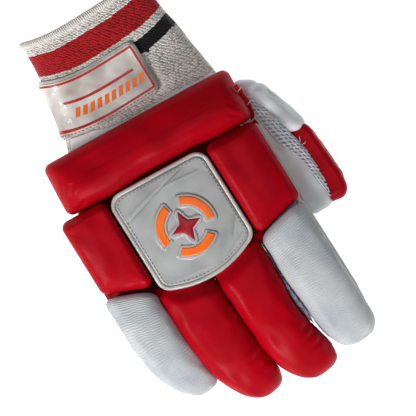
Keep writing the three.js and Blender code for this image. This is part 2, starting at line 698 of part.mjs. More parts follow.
function emblemArc(arc) {
  const span = 360 / ARC_COUNT - ARC_OPENING;
  const from = 90 + (arc * 360) / ARC_COUNT + ARC_OPENING / 2;
  return sheet(7, 1, (u, v, face) => {
    const angle = radians(from + span * u);
    const radius = EMBLEM_RADIUS - EMBLEM_STROKE * v;
    const [x, y] = [BADGE_X + radius * Math.cos(angle), EMBLEM_Y + radius * Math.sin(angle)];
    return [x, y, sheetFace(x, y) + GAP + face * EMBLEM_RELIEF];
  });
}

function emblemStar() {
  const rings = [0, EMBLEM_RELIEF].map((lift) => range(2 * STAR_POINTS).map((i) => {
    const radius = STAR_RADIUS * (i % 2 ? STAR_WAIST : 1);
    const angle = (i * Math.PI) / STAR_POINTS;
    const [x, y] = [BADGE_X + radius * Math.cos(angle), EMBLEM_Y + radius * Math.sin(angle)];
    return [x, y, sheetFace(BADGE_X, EMBLEM_Y) + GAP + lift];
  }));
  return loft(rings);
}

// Thumb: a mesh strip along its inner edge, and a roll and a wing on its outer side

function thumbMesh() {
  const [columns, rows] = [2 * MESH_COLUMNS + 1, 2 * MESH_ROWS + 1];
  const [from, to] = [THUMB_TIP_Y + MESH_TIP_GAP, THUMB_TOP_Y - MESH_ROOT_GAP];
  const edges = MESH_SHAPE.map((row) => ({ ...row, y: lerp(THUMB_TIP_Y, THUMB_TOP_Y, row.along) }));
  return sheet(columns, rows, (u, v, face) => {
    const place = lerp(from, to, v);
    const angle = lerp(column(edges, "far", place), column(edges, "near", place), u);
    return skinPoint(thumb, place, radians(angle), LIFT + face * MESH_WALL);
  }, (i, j) => i % 2 === 1 && j % 2 === 1);
}

const THUMB_SIDE_X = THUMB_X + THUMB_HALF_WIDTH;
const THUMB_ROLL_TOP_Y = THUMB_TIP_Y + THUMB_ROLL_LENGTH;

function thumbRoll() {
  const corners = [[0, -1], [1, -1], [1, 1], [0, 1]].map(([along, up]) =>
    ({ x: along * THUMB_ROLL_LENGTH, y: up * THUMB_ROLL_HALF_HEIGHT,
      round: 2 * THUMB_ROLL_ROUND }));
  const rings = padRings(corners, { sink: THUMB_ROLL_ROUND, thickness: THUMB_ROLL_THICKNESS,
    round: THUMB_ROLL_ROUND });
  return solid(loft(mapRings(rings, ([along, up, out]) => {
    const thinning = endRound(along, THUMB_ROLL_TAPER, 1 - THUMB_ROLL_TIP);
    return [THUMB_SIDE_X + Math.max(out, 0) * (1 - thinning) + Math.min(out, 0) - 0.05 * along,
      THUMB_TIP_Y + along, THUMB_HEIGHT / 2 + up];
  })));
}

function thumbWing() {
  const corners = WING_SHAPE.map(({ along, across }) =>
    ({ x: along * WING_LENGTH, y: across * WING_HALF_WIDTH, round: 2 * WING_ROUND })).reverse();
  const rings = padRings(corners, { sink: WING_ROUND, thickness: WING_THICKNESS,
    round: WING_ROUND });
  const lean = radians(WING_LEAN);
  return solid(loft(mapRings(rings, ([along, across, out]) => {
    const y = THUMB_TOP_Y + WING_START - along;
    const side = column(thumb.rows, "right", y) + WING_OFFSET - WING_ROUND / 2;
    return [side + out * Math.sin(lean) - across * Math.cos(lean), y,
      0.72 * THUMB_HEIGHT + out * Math.cos(lean) + across * Math.sin(lean)];
  })));
}

// The space on the wing's or the roll's side of the seam between them
function thumbSeamSide(isWing) {
  const reach = 2 * THUMB_ROLL_LENGTH;
  const shift = (isWing ? 1 : -1) * GAP;
  const line = [-1, 1].map((side) => [THUMB_SIDE_X + side * reach,
    THUMB_ROLL_TOP_Y - THUMB_ROLL_ROUND + shift + side * reach * 0.6]);
  const far = THUMB_ROLL_TOP_Y + (isWing ? 2 : -2) * reach;
  const outline = [...line, [line[1][0], far], [line[0][0], far]];
  return solid(loft([-reach, reach].map((z) => outline.map(([x, y]) => [x, y, z]))));
}

// Materials
const finish = (color, roughness) =>
  new THREE.MeshStandardMaterial({ color, roughness, metalness: 0 });
const redLeather = finish("#b3121f", 0.42);
const whiteLeather = finish("#dfe2e4", 0.5);
const palmLeather = finish("#e6e3dc", 0.62);
const cotton = finish("#cfcfe0", 0.9);
const knit = finish("#d3cfc8", 0.95);
const netting = finish("#e4e6ec", 0.85);
const silverVinyl = finish("#b4b6b8", 0.3);
const clearVinyl = finish("#d8d3cf", 0.25);
const orangeVinyl = finish("#f07a12", 0.35);
const redVinyl = finish("#b3121f", 0.35);

// Assembly
const glove = new THREE.Group();

function piece(name, body, material) {
  const mesh = new THREE.Mesh(flatShaded(body), material);
  mesh.geometry.computeVertexNormals();
  mesh.name = name;
  glove.add(mesh);
}

const shell = handShell();
piece("palm_leather", trimmed(shell.intersect(seamSide(false))), palmLeather);
piece("back_leather", trimmed(shell.intersect(seamSide(true))), redLeather);

const thumbClear = thumbSkin(GAP);
piece("thumb_stall", trimmed(thumbSkin(0), thumbInside, handClear), whiteLeather);

piece("cuff", trimmed(cuffSkin(0), cuffSkin(-KNIT_WALL, KNIT_WALL)), knit);
const facingClear = skinSolid(cuff, 2 * LIFT + FACING_WALL, CUFF_FOOT_Y - GAP, RIM_Y,
  CUFF_STEPS, CUFF_SIDES);
piece("wrist_facing", wristFacing(), whiteLeather);
const strapTop = LIFT + STRAP_WALL;
piece("wrist_strap", strapBand(0, LIFT, strapTop, (place) =>
  cuffAngle(place, STRAP_TAIL_X, false)), whiteLeather);
piece("strap_panel", strapBand(PANEL_MARGIN, strapTop + GAP, strapTop + GAP + PANEL_WALL,
  () => radians(192)), clearVinyl);

const rollsClear = badgeClear();
for (const finger of fingers) {
  const isOuter = finger === index || finger === little;
  piece(`${finger.name}_stall`, trimmed(stallSolid(finger, 0, 0),
    stallSolid(finger, -LEATHER_WALL, -LEATHER_WALL), handClear), cotton);
  piece(`${finger.name}_roll`, trimmed(rollSolid(finger), handClear, rollsClear,
    ...stallsClear), isOuter ? whiteLeather : redLeather);
}

const [badgeWest, badgeEast] = BADGE_EDGES;
piece("little_block", trimmed(sideBlock(little, badgeWest - PAD_SPACE, -HAND_HALF_WIDTH - GAP),
  handClear, ...stallsClear), redLeather);
piece("index_block", trimmed(sideBlock(index, badgeEast + PAD_SPACE, HAND_HALF_WIDTH + GAP),
  handClear, thumbClear, ...stallsClear), redLeather);
piece("wrist_bar", trimmed(wristBar(0), handClear, thumbClear, facingClear), redLeather);

piece("badge_pad", trimmed(badgePad(), handClear, ...stallsClear), redLeather);
piece("badge_sheet", badgeSheet(), silverVinyl);
piece("badge_piping", badgePiping(), silverVinyl);
range(ARC_COUNT).forEach((arc) =>
  piece(`emblem_arc_${arc + 1}`, emblemArc(arc), orangeVinyl));
piece("emblem_star", emblemStar(), redVinyl);

const meshClear = thumbSkin(2 * LIFT + MESH_WALL + GAP);
piece("thumb_mesh", trimmed(solid(thumbMesh()), handClear, wristBar(2 * GAP)), netting);
piece("thumb_roll", trimmed(thumbRoll(), meshClear).intersect(thumbSeamSide(false)), redLeather);
piece("thumb_wing", trimmed(thumbWing(), meshClear, handClear, wristBar(2 * GAP))
  .intersect(thumbSeamSide(true)), whiteLeather);

const middle = new THREE.Box3().setFromObject(glove).getCenter(new THREE.Vector3());
glove.position.set(-middle.x, -middle.y, 0);

export default glove;
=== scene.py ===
import math

import bmesh
import bpy
import numpy as np
from mathutils import Matrix, Vector


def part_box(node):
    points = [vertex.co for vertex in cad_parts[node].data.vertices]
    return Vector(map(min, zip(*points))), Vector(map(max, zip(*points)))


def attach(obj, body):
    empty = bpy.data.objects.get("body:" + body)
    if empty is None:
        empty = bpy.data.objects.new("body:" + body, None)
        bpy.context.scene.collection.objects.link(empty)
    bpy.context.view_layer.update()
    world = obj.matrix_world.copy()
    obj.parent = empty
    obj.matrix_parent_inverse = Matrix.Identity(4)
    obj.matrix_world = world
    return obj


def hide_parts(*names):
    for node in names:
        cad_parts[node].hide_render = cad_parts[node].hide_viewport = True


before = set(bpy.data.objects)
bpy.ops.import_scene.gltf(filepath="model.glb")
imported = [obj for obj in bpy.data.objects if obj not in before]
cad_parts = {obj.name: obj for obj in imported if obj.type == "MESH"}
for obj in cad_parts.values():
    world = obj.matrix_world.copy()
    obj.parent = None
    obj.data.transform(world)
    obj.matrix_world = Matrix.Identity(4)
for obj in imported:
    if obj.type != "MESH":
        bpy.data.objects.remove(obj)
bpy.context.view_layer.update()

# Palm and back of the hand
#
# Two shells of thin leather, cut flat and sewn to each other along the sides of the hand. The
# palm is soft white leather, pressed flat where it lies. The back is red and carries the pads.

# The tables are in millimetres around the badge's middle. The part has moved that point.
BADGE_MIDDLE = np.array([-1.6, -0.73, 0.0])
low, high = (np.array(corner) * 1000 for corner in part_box("badge_piping"))
SHIFT = np.array([*((low + high) / 2 - BADGE_MIDDLE)[:2], 0.0])

LEATHER_WALL = 1.6
HAND_HALF_WIDTH = 62
HAND_LENGTH = 82
KNUCKLE_Y = -24
WRIST_Y = KNUCKLE_Y + HAND_LENGTH
HAND_HEIGHT = 31
KNUCKLE_LIFT = 9
SQUARENESS = 3.2
BACK_CROWN = 7
SEAM_SHARE = 0.42
SEAM_GAP = 0.2
HAND_EDGE = 8  # columns beside the seams that stay plain
HAND_SOFTNESS = 0.07
HAND_SHAPE = dict(
    along=[0, 0.16, 0.3, 0.55, 0.8, 1],
    left=[-1.02, -1.01, -1.0, -0.93, -0.78, -0.68],
    right=[0.985, 0.985, 0.98, 0.98, 0.98, 0.97],
    bottom=[1, 0.12, -0.1, -0.1, -0.1, -0.1],
    top=[1, 1.02, 1.02, 1, 0.95, 0.9],
)
# Creases of the palm leather: a line, and its depth and half width
PALM_CREASES = [
    dict(x0=-50, y0=-2, x1=20, y1=-14, depth=0.9, width=2.2),
    dict(x0=-40, y0=14, x1=44, y1=2, depth=0.8, width=2.6),
    dict(x0=40, y0=-8, x1=22, y1=48, depth=1.0, width=2.8),
    dict(x0=-30, y0=40, x1=30, y1=46, depth=0.6, width=2.4),
]


def column(ys, values, place):
    """Reads a table's column at places between its rows, on a smooth curve through them."""
    ys, values, place = (np.asarray(a, float) for a in (ys, values, place))
    last = len(ys) - 1
    at = np.clip(np.searchsorted(ys, place, side="right") - 1, 0, last - 1)
    before, beyond = np.maximum(at - 1, 0), np.minimum(at + 2, last)
    span = ys[at + 1] - ys[at]
    t = np.clip((place - ys[at]) / span, 0, 1)
    slope_low = (values[at + 1] - values[before]) / (ys[at + 1] - ys[before])
    slope_high = (values[beyond] - values[at]) / (ys[beyond] - ys[at])
    return (values[at] + (values[at + 1] - values[at]) * t * t * (3 - 2 * t)
            + t * (1 - t) ** 2 * span * slope_low + t * t * (t - 1) * span * slope_high)


def power(value, exponent):
    return np.sign(value) * np.abs(value) ** exponent


def smooth(value):
    """Eases from 0 to 1 as value goes from 0 to 1."""
    value = np.clip(value, 0, 1)
    return value * value * (3 - 2 * value)


def join(*values):
    """Points, or uv places, from one array for each coordinate."""
    return np.stack(np.broadcast_arrays(*values), -1)


def skin(shape, y0, y1, middle, half_width, heights):
    """Rounded sections across Y, from a table of shares."""
    share = lambda key: np.array(shape.get(key, [0] * len(shape["along"])), float)
    return dict(y=y0 + (y1 - y0) * share("along"), left=middle + share("left") * half_width,
                right=middle + share("right") * half_width, bottom=share("bottom") * heights[0],
                top=share("top") * heights[1], floor=share("floor"),
                bow_left=share("bow_left"), bow_right=share("bow_right"))


def skin_points(s, place, angle, grow):
    """Points round the skin: angles from the right side over the top."""
    place, angle, grow = np.broadcast_arrays(place, angle, grow)
    left, right, bottom, top, floor, bow_left, bow_right = (
        column(s["y"], s[key], place)
        for key in ("left", "right", "bottom", "top", "floor", "bow_left", "bow_right"))
    across, up = power(np.cos(angle), 2 / SQUARENESS), power(np.sin(angle), 2 / SQUARENESS)
    bow = np.where(across < 0, bow_left, bow_right) * np.cos(angle) ** 2
    x = (left + right) / 2 + ((right - left) / 2 + grow) * across
    z = (bottom + top) / 2 + ((top - bottom) / 2 + grow) * up
    return join(x, place + bow, np.maximum(z, np.maximum(floor - grow, 0)))


def running_length(points):
    """How far along a line of points each one lies."""
    return np.concatenate([[0], np.cumsum(np.linalg.norm(np.diff(points, axis=0), axis=1))])


def even_angles(s, place, start, end, count):
    """Angles from start to end, the same distance apart round the skin at that place."""
    fine = np.linspace(start, end, 720)
    length = running_length(skin_points(s, place, fine, 0.0))
    return np.interp(np.linspace(0, length[-1], count), length, fine), length[-1]


def ripple(x, y, size, seed, count=14):
    """A soft random surface, about 1 high, with waves of that size."""
    rng = np.random.default_rng(seed)
    total = 0.0
    for _ in range(count):
        turn, phase = rng.uniform(0, 2 * math.pi, 2)
        k = 2 * math.pi / size * rng.uniform(0.6, 1.6)
        total = total + np.sin(k * (x * math.cos(turn) + y * math.sin(turn)) + phase)
    return total / math.sqrt(count)


def line_distance(x, y, row):
    """Distance from points to a table row's line, and the share along it."""
    dx, dy = row["x1"] - row["x0"], row["y1"] - row["y0"]
    t = np.clip(((x - row["x0"]) * dx + (y - row["y0"]) * dy) / (dx * dx + dy * dy), 0, 1)
    return np.hypot(x - row["x0"] - t * dx, y - row["y0"] - t * dy), t


def creases(x, y, rows):
    """How far the surface sinks along a table of crease lines, each fading at its ends."""
    total = 0.0
    for row in rows:
        distance, t = line_distance(x, y, row)
        fade = np.sqrt(np.clip(4 * t * (1 - t), 0.02, 1))
        total = total + row["depth"] * fade * np.exp(-(distance / row["width"]) ** 2)
    return total


def mesh_object(name, points, faces, uvs=None):
    """A mesh from points in millimetres around the badge, with a uv for each face corner."""
    mesh = bpy.data.meshes.new(name)
    mesh.from_pydata(((np.asarray(points) + SHIFT) / 1000).tolist(), [], faces)
    if uvs is not None:
        mesh.uv_layers.new(name="uv").data.foreach_set("uv", np.asarray(uvs, float).ravel())
    body = bmesh.new()
    body.from_mesh(mesh)
    bmesh.ops.recalc_face_normals(body, faces=body.faces)
    body.to_mesh(mesh)
    body.free()
    mesh.polygons.foreach_set("use_smooth", [True] * len(mesh.polygons))
    obj = bpy.data.objects.new(name, mesh)
    bpy.context.scene.collection.objects.link(obj)
    return obj


def quads(rows, cols, wrap=False, loop=False):
    """A grid's faces, as the numbers of its points. wrap joins its last column to the first,
    and loop its last row to the first."""
    r = np.arange(rows if loop else rows - 1)[:, None]
    c = np.arange(cols if wrap else cols - 1)[None, :]
    r1, c1 = (r + 1) % rows, (c + 1) % cols
    return join(r * cols + c, r * cols + c1, r1 * cols + c1, r1 * cols + c).reshape(-1, 4)


def grid_object(name, points, uv=None, loop=False, ends="fan"):
    """Rings of points joined into a skin. loop joins the last ring to the first, and otherwise
    a fan, or one face, closes both ends. uv has one more column."""
    rows, cols = points.shape[:2]
    verts = points.reshape(-1, 3)
    faces = quads(rows, cols, True, loop).tolist()
    corners = []
    if uv is not None:
        corners.append(uv.reshape(-1, 2)[quads(rows, cols + 1, False, loop)].reshape(-1, 2))
    for row in () if loop else (0, rows - 1):
        ring = row * cols + np.arange(cols)
        if ends == "face":
            faces.append(ring.tolist())
            if uv is not None:
                corners.append(uv[row, :cols])
        else:
            faces += join(ring, np.roll(ring, -1), len(verts)).tolist()
            verts = np.vstack([verts, points[row].mean(axis=0)])
            if uv is not None:
                a, b = uv[row, :-1], uv[row, 1:]
                corners.append(np.stack([a, b, (a + b) / 2], 1).reshape(-1, 2))
    return mesh_object(name, verts, faces, np.vstack(corners) if corners else None)


def slab_object(name, outer, inner, uv=None):
    """A wall between two grids of points, closed round its four edges."""
    rows, cols = outer.shape[:2]
    index = np.arange(rows * cols).reshape(rows, cols)
    rim = np.concatenate([index[0, :-1], index[:-1, -1], index[-1, :0:-1], index[:0:-1, 0]])
    after = np.roll(rim, -1)
    face, under = quads(rows, cols), rows * cols
    faces = np.vstack([face, face[:, ::-1] + under, join(after, rim, rim + under, after + under)])
    corners = None if uv is None else np.vstack([uv.reshape(-1, 2)] * 2)[faces].reshape(-1, 2)
    points = np.vstack([outer.reshape(-1, 3), inner.reshape(-1, 3)])
    return mesh_object(name, points, faces.tolist(), corners)


def carve(obj, *cutters):
    """Cuts other bodies out of one."""
    bpy.context.view_layer.objects.active = obj
    for cutter in cutters:
        cut = obj.modifiers.new("cut", "BOOLEAN")
        cut.operation, cut.object, cut.solver = "DIFFERENCE", cutter, "EXACT"
        bpy.ops.object.modifier_apply(modifier=cut.name)


def discard(*objects):
    for obj in objects:
        bpy.data.objects.remove(obj)


def colour(value):
    """The light values of a hex colour, or of a grey from 0 to 1."""
    if not isinstance(value, str):
        return (value, value, value, 1.0)
    channels = [int(value[i:i + 2], 16) / 255 for i in (1, 3, 5)]
    return (*[c / 12.92 if c < 0.04045 else ((c + 0.055) / 1.055) ** 2.4 for c in channels], 1.0)


def feed(made, inputs):
    """Sets a shader node's inputs to values or hex colours, or links them to sockets."""
    for key, value in dict(inputs).items():
        if isinstance(value, bpy.types.NodeSocket):
            made.id_data.links.new(value, made.inputs[key])
        else:
            made.inputs[key].default_value = colour(value) if isinstance(value, str) else value


def node(tree, kind, inputs=(), **settings):
    made = tree.nodes.new("ShaderNode" + kind)
    for key, value in settings.items():
        setattr(made, key, value)
    feed(made, inputs)
    return made


def ramp(tree, value, stops, interpolation="LINEAR"):
    """Colours between stops, each a place from 0 to 1 and its colour."""
    made = node(tree, "ValToRGB", {"Fac": value})
    made.color_ramp.interpolation = interpolation
    while len(made.color_ramp.elements) < len(stops):
        made.color_ramp.elements.new(0.5)
    for element, (place, tone) in zip(made.color_ramp.elements, stops):
        element.position = place
        element.color = colour(tone)
    return made.outputs["Color"]


def mix(tree, share, a, b, blend="MIX"):
    """Mixes two colours."""
    return node(tree, "Mix", {0: share, 6: a, 7: b}, data_type="RGBA",
                blend_type=blend).outputs[2]


def remap(tree, value, start, end, low, high):
    """Low where the value is at its start, high at its end."""
    return node(tree, "MapRange", {"Value": value, "From Min": start, "From Max": end,
                                   "To Min": low, "To Max": high}).outputs["Result"]


def bump(tree, height, strength, distance, **below):
    """Tilts the surface by a height, on top of another bump if one is given as Normal."""
    return node(tree, "Bump", {"Height": height, "Strength": strength, "Distance": distance,
                               **below}).outputs["Normal"]


def new_material(name):
    material = bpy.data.materials.new(name)
    material.use_nodes = True
    tree = material.node_tree
    tree.nodes.clear()
    shader = node(tree, "BsdfPrincipled")
    node(tree, "OutputMaterial", {"Surface": shader.outputs["BSDF"]})
    return material, tree, shader


def position(tree):
    return node(tree, "TexCoord").outputs["Object"]


def own_uv(tree):
    """The mesh's own uv, in millimetres round and along the piece."""
    return node(tree, "UVMap", uv_map="uv").outputs["UV"]


def noise(tree, scale, detail=2):
    return node(tree, "TexNoise", {"Vector": position(tree), "Scale": scale,
                                   "Detail": detail}).outputs["Fac"]


def cells(tree, scale):
    return node(tree, "TexVoronoi", {"Vector": position(tree), "Scale": scale}).outputs["Distance"]


def leather(name, main, dark, roughness, grain, wrinkle=0.0, direction="Y", mottle=0.35,
            shine=0.3):
    """Leather with a fine pebbled grain, uneven dye and, if asked, wrinkles across the piece, with
    shade painted darker in their valleys.
    """
    material, tree, shader = new_material(name)
    patches = noise(tree, 55, 3)
    base = mix(tree, remap(tree, patches, 0.35, 0.7, 0, mottle), main, dark)
    normal = bump(tree, cells(tree, 1100), grain, 0.0003)
    if wrinkle:
        lines = node(tree, "TexWave", {"Vector": own_uv(tree), "Scale": 0.3, "Distortion": 9.0,
                                       "Detail": 3, "Detail Scale": 0.5},
                     wave_type="BANDS", bands_direction=direction).outputs["Fac"]
        normal = bump(tree, lines, wrinkle, 0.0003, Normal=normal)
        # Painted shade: the colour is darkened in the wrinkles' valleys.
        base = mix(tree, 1.0, base, ramp(tree, lines, [(0, 0.92), (0.6, 1)]), "MULTIPLY")
    feed(shader, {"Base Color": base, "Normal": normal, "Specular IOR Level": shine,
                  "Roughness": remap(tree, patches, 0.3, 0.75, roughness - 0.05,
                                     roughness + 0.1)})
    return material


def dress(obj, material, slot, *nodes):
    """Gives a piece its material and ties it to the part."""
    obj.data.materials.clear()
    obj.data.materials.append(material)
    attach(obj, "root")
    if nodes:
        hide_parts(*nodes)
    return obj


RED = leather("red leather", "#b4031d", "#850010", 0.4, 0.1, shine=0.14)
# A darker copy of the red leather for the back and the forks: painted shade where they show deep
# between the pads and rolls.
SHADED_RED = leather("red leather painted with shade", "#84021a", "#5c0010", 0.45, 0.1, shine=0.1)
WHITE = leather("white leather", "#c6c9cb", "#a1a9b2", 0.5, 0.15, wrinkle=0.55, mottle=0.55)
WHITE_PLAIN = leather("plain white leather", "#f3f6f8", "#d9e0e4", 0.5, 0.2)
PALM = leather("palm leather", "#e2e0da", "#cdc9c0", 0.62, 0.3, wrinkle=0.25,
               direction="DIAGONAL")

hand = skin(HAND_SHAPE, KNUCKLE_Y, WRIST_Y, 0, HAND_HALF_WIDTH, (KNUCKLE_LIFT, HAND_HEIGHT))


def back_height(x, y):
    """Height of the back of the hand below a pad."""
    top = column(hand["y"], hand["top"], np.minimum(y, WRIST_Y))
    return top - BACK_CROWN * (x / HAND_HALF_WIDTH) ** 2


def hand_shell(name, is_palm):
    across = np.arange(110)
    edge = smooth(np.minimum(across, across[::-1]) / HAND_EDGE)
    outer, inner, uv = [], [], []
    for place in np.linspace(KNUCKLE_Y, WRIST_Y, 70):
        bottom, top = (column(hand["y"], hand[key], place) for key in ("bottom", "top"))
        seam = bottom + (top - bottom) * SEAM_SHARE + (-SEAM_GAP if is_palm else SEAM_GAP)
        rise = (seam - (bottom + top) / 2) / ((top - bottom) / 2)
        turn = math.asin(float(power(rise, SQUARENESS / 2)))
        start, end = (math.pi - turn, 2 * math.pi + turn) if is_palm else (turn, math.pi - turn)
        angles, length = even_angles(hand, place, start, end, len(across))
        x, y, _ = skin_points(hand, place, angles, 0.0).T
        sink = creases(x, y, PALM_CREASES) if is_palm else 0.0
        swell = (HAND_SOFTNESS * ripple(x, y, 26, 3) - sink) * edge
        outer.append(skin_points(hand, place, angles, swell - SEAM_GAP))
        inner.append(skin_points(hand, place, angles, -LEATHER_WALL))
        uv.append(join(np.linspace(0, length, len(across)), place))
    return slab_object(name, np.array(outer), np.array(inner), np.array(uv))


palm = hand_shell("palm_shell", True)
back = hand_shell("back_shell", False)

# Thumb stall
#
# A pocket of the same white leather for the thumb. It opens into the palm and its upper face
# shows between the block and the net, with a soft fold where it bends.

THUMB_X = HAND_HALF_WIDTH + 9
THUMB_TOP_Y = WRIST_Y - 7
THUMB_TIP_Y = THUMB_TOP_Y - 87.5
THUMB_HALF_WIDTH = 9.5
THUMB_HEIGHT = 27
THUMB_FOLDS_FROM = 14  # the folds stay above this height
THUMB_ROUND = 90  # millimetres of uv round the thumb
# Where the stall's shoulder is full: degrees round it and its spread, how full, below which y
THUMB_SHOULDER = dict(angle=138, spread=26, swell=2.4, below=12, fade=14)
THUMB_SHAPE = dict(
    along=[0, 0.02, 0.07, 0.2, 0.38, 0.55, 0.75, 0.93, 1],
    left=[-0.45, -0.72, -0.82, -0.83, -0.86, -1.7, -2, -2, -1.8],
    right=[0.45, 0.7, 0.86, 0.97, 0.97, 0.7, 0.3, -0.1, -0.6],
    bottom=[0.26, 0.12, 0.02, -0.04, -0.04, -0.04, -0.04, 0.02, 0.2],
    top=[0.7, 0.84, 0.93, 0.98, 1, 1.02, 1, 0.9, 0.7],
)
THUMB_CREASES = [
    dict(x0=62, y0=12, x1=72, y1=-5, depth=1.3, width=1.3),
    dict(x0=63, y0=-12, x1=76, y1=-15, depth=-0.8, width=2.5),
    dict(x0=63, y0=-22, x1=76, y1=-24, depth=0.5, width=2.5),
]
thumb = skin(THUMB_SHAPE, THUMB_TIP_Y, THUMB_TOP_Y, THUMB_X, THUMB_HALF_WIDTH,
             (THUMB_HEIGHT, THUMB_HEIGHT))


def skin_body(name, s, grow, y0, y1, rows, cols, swell=lambda points, angles: 0.0):
    """A closed body of a skin from y0 to y1."""
    places = y0 + (y1 - y0) * np.linspace(0, 1, rows)
    angles = (np.arange(cols) / cols * 2 * math.pi)[None, :]
    plain = skin_points(s, places[:, None], angles, grow)
    points = skin_points(s, places[:, None], angles, grow + swell(plain, angles))
    uv = join(np.linspace(0, THUMB_ROUND, cols + 1), places[:, None])
    return grid_object(name, points, uv)


def thumb_swell(points, angles):
    """Folds on top, and a full shoulder beside the index block, where the leather is level."""
    x, y, z = np.moveaxis(points, -1, 0)
    top = smooth((z - THUMB_FOLDS_FROM) / 8)
    row = THUMB_SHOULDER
    full = row["swell"] * np.exp(-((np.degrees(angles) - row["angle"]) / row["spread"]) ** 2)
    full = full * smooth((row["below"] - y) / row["fade"])
    return 0.3 * ripple(x + z, y, 14, 8) - top * creases(x, y, THUMB_CREASES) + full


thumb_stall = skin_body("thumb_leather", thumb, 0.0, THUMB_TIP_Y, THUMB_TOP_Y, 110, 96,
                        thumb_swell)
thumb_inside = skin_body("thumb_inside", thumb, -LEATHER_WALL, THUMB_TIP_Y + LEATHER_WALL,
                         THUMB_TOP_Y - LEATHER_WALL, 40, 40)
hand_outside = skin_body("hand_outside", hand, 0.1, KNUCKLE_Y, WRIST_Y, 40, 72)
carve(thumb_stall, thumb_inside, hand_outside)
carve(palm, thumb_inside)
carve(back, thumb_inside)
discard(thumb_inside, hand_outside)
dress(thumb_stall, WHITE_PLAIN, "white_leather", "thumb_stall")

# Finger stalls
#
# A pocket for each finger: thin leather under the finger and on its pad, and lavender cotton
# strips along its sides. They are sewn to the front edge of the palm and to their rolls.

FINGER_LENGTH = 80.5
PAD_SPACE = 1.1
STALL_INSET = 2.3
STALL_HALF_HEIGHT = 10.5
STALL_END_ROUND = 8
STALL_ROUND = 80  # millimetres of uv round a stall
STALL_BULGE = 1.0
STALL_BEND = 60  # where the fingers bend most
STALL_WELTS = 3.86, 5.56  # the seams' places round the stall
STALL_WELT_HEIGHT = 0.35
STALL_FOLDS = 24, 48
STALL_FOLD_DEPTH = 0.7
GATHER_PITCH = 5.3
GATHER_DEPTH = 0.3
ROLL_HALF_HEIGHT = 11.2
ROLL_LOW = STALL_HALF_HEIGHT - 4.2
ROLL_HIGH = ROLL_LOW + 2 * ROLL_HALF_HEIGHT
ROLL_START_ROUND = 5.5
ROLL_TIP_ROUND = 10
FINGER_RISE = 9
FINGER_CURL = 46
KNUCKLE_GAP = 0.45
KNUCKLE_MIDDLE = (KNUCKLE_LIFT + HAND_HEIGHT) / 2
FINGERS = [
    dict(name="index", near=0.487, far=0.997, start=-0.02, slope=0.19, length=0.93, sway=1,
         near_run=1.6, near_depth=0.87, far_run=0.6, far_depth=0.4, overhang=3.4),
    dict(name="middle", near=-0.055, far=0.462, start=0.12, slope=0.05, length=1, sway=8,
         near_run=1.65, near_depth=1.15, far_run=0.55, far_depth=0.35, overhang=0),
    dict(name="ring", near=-0.592, far=-0.068, start=0.05, slope=-0.1, length=0.92, sway=9,
         near_run=2.2, near_depth=1.2, far_run=0.7, far_depth=0.4, overhang=0),
    dict(name="little", near=-1.035, far=-0.588, start=-0.55, slope=-0.42, length=0.655, sway=9,
         near_run=2.2, near_depth=1.4, far_run=0.5, far_depth=0.2, overhang=0.5),
]
for finger in FINGERS:
    near = finger["near"] * HAND_HALF_WIDTH + PAD_SPACE / 2
    far = finger["far"] * HAND_HALF_WIDTH - PAD_SPACE / 2
    finger["x"], finger["half"] = (near + far) / 2, (far - near) / 2
    finger["length"] *= FINGER_LENGTH
    finger["start_y"] = KNUCKLE_Y - finger["start"] * finger["half"]


# Each stall fills half the space to the next finger's
for finger in FINGERS:
    finger["near_room"] = finger["far_room"] = STALL_BULGE
for nearer, further in zip(FINGERS[1:], FINGERS[:-1]):
    room = (further["x"] - further["half"] - nearer["x"] - nearer["half"]) / 2 + STALL_INSET
    nearer["far_room"] = further["near_room"] = room - 0.05


def finger_directions(finger, along):
    share = np.maximum(along / finger["length"], 0) ** 1.5
    pitch = np.radians(-FINGER_RISE + (FINGER_CURL + FINGER_RISE) * share)
    yaw = np.radians(finger["sway"] * share)
    level = np.stack([np.sin(yaw), -np.cos(yaw), 0 * yaw], -1)
    upright = np.array([0, 0, 1.0])
    forward = level * np.cos(pitch)[..., None] - upright * np.sin(pitch)[..., None]
    side = np.stack([np.cos(yaw), np.sin(yaw), 0 * yaw], -1)
    up = level * np.sin(pitch)[..., None] + upright * np.cos(pitch)[..., None]
    return forward, side, up


def finger_frame(finger, along):
    """The finger's middle line at distances along it, with its directions there."""
    steps = (np.arange(24) + 0.5) / 24
    along = np.asarray(along, float)
    forward, _, _ = finger_directions(finger, along[:, None] * steps)
    middle = (np.array([finger["x"], KNUCKLE_Y - KNUCKLE_GAP, KNUCKLE_MIDDLE])
              + forward.mean(axis=1) * along[:, None])
    return (middle, *finger_directions(finger, along))


def end_round(distance, run, depth):
    share = np.clip(1 - distance / run, 0, 1)
    return depth * (1 - np.sqrt(1 - share ** 2))


def finger_points(finger, along, near, far, low, high, angles, floor, shear=None, swell=0.0,
                  square=SQUARENESS):
    """Rounded sections across a finger: rows along it, columns round it."""
    middle, forward, side, up = (part[:, None] for part in finger_frame(finger, along))
    cos, sin = power(np.cos(angles), 2 / square), power(np.sin(angles), 2 / square)
    near, far, low, high = (np.asarray(a, float)[:, None] for a in (near, far, low, high))
    across = near + (far - near) * (1 + cos) / 2 + swell * cos
    height = low + (high - low) * (1 + sin) / 2 + swell * sin
    shift = 0 * across if shear is None else shear(across)
    points = (middle + side * across[..., None] + up * height[..., None]
              + forward * shift[..., None])
    points[..., 2] = np.maximum(points[..., 2], floor)
    return points


def round_angles(count):
    """Angles that space points evenly round a squarish section."""
    even = np.linspace(0, 2 * math.pi, count, endpoint=False)
    return even - 0.22 * np.sin(4 * even)


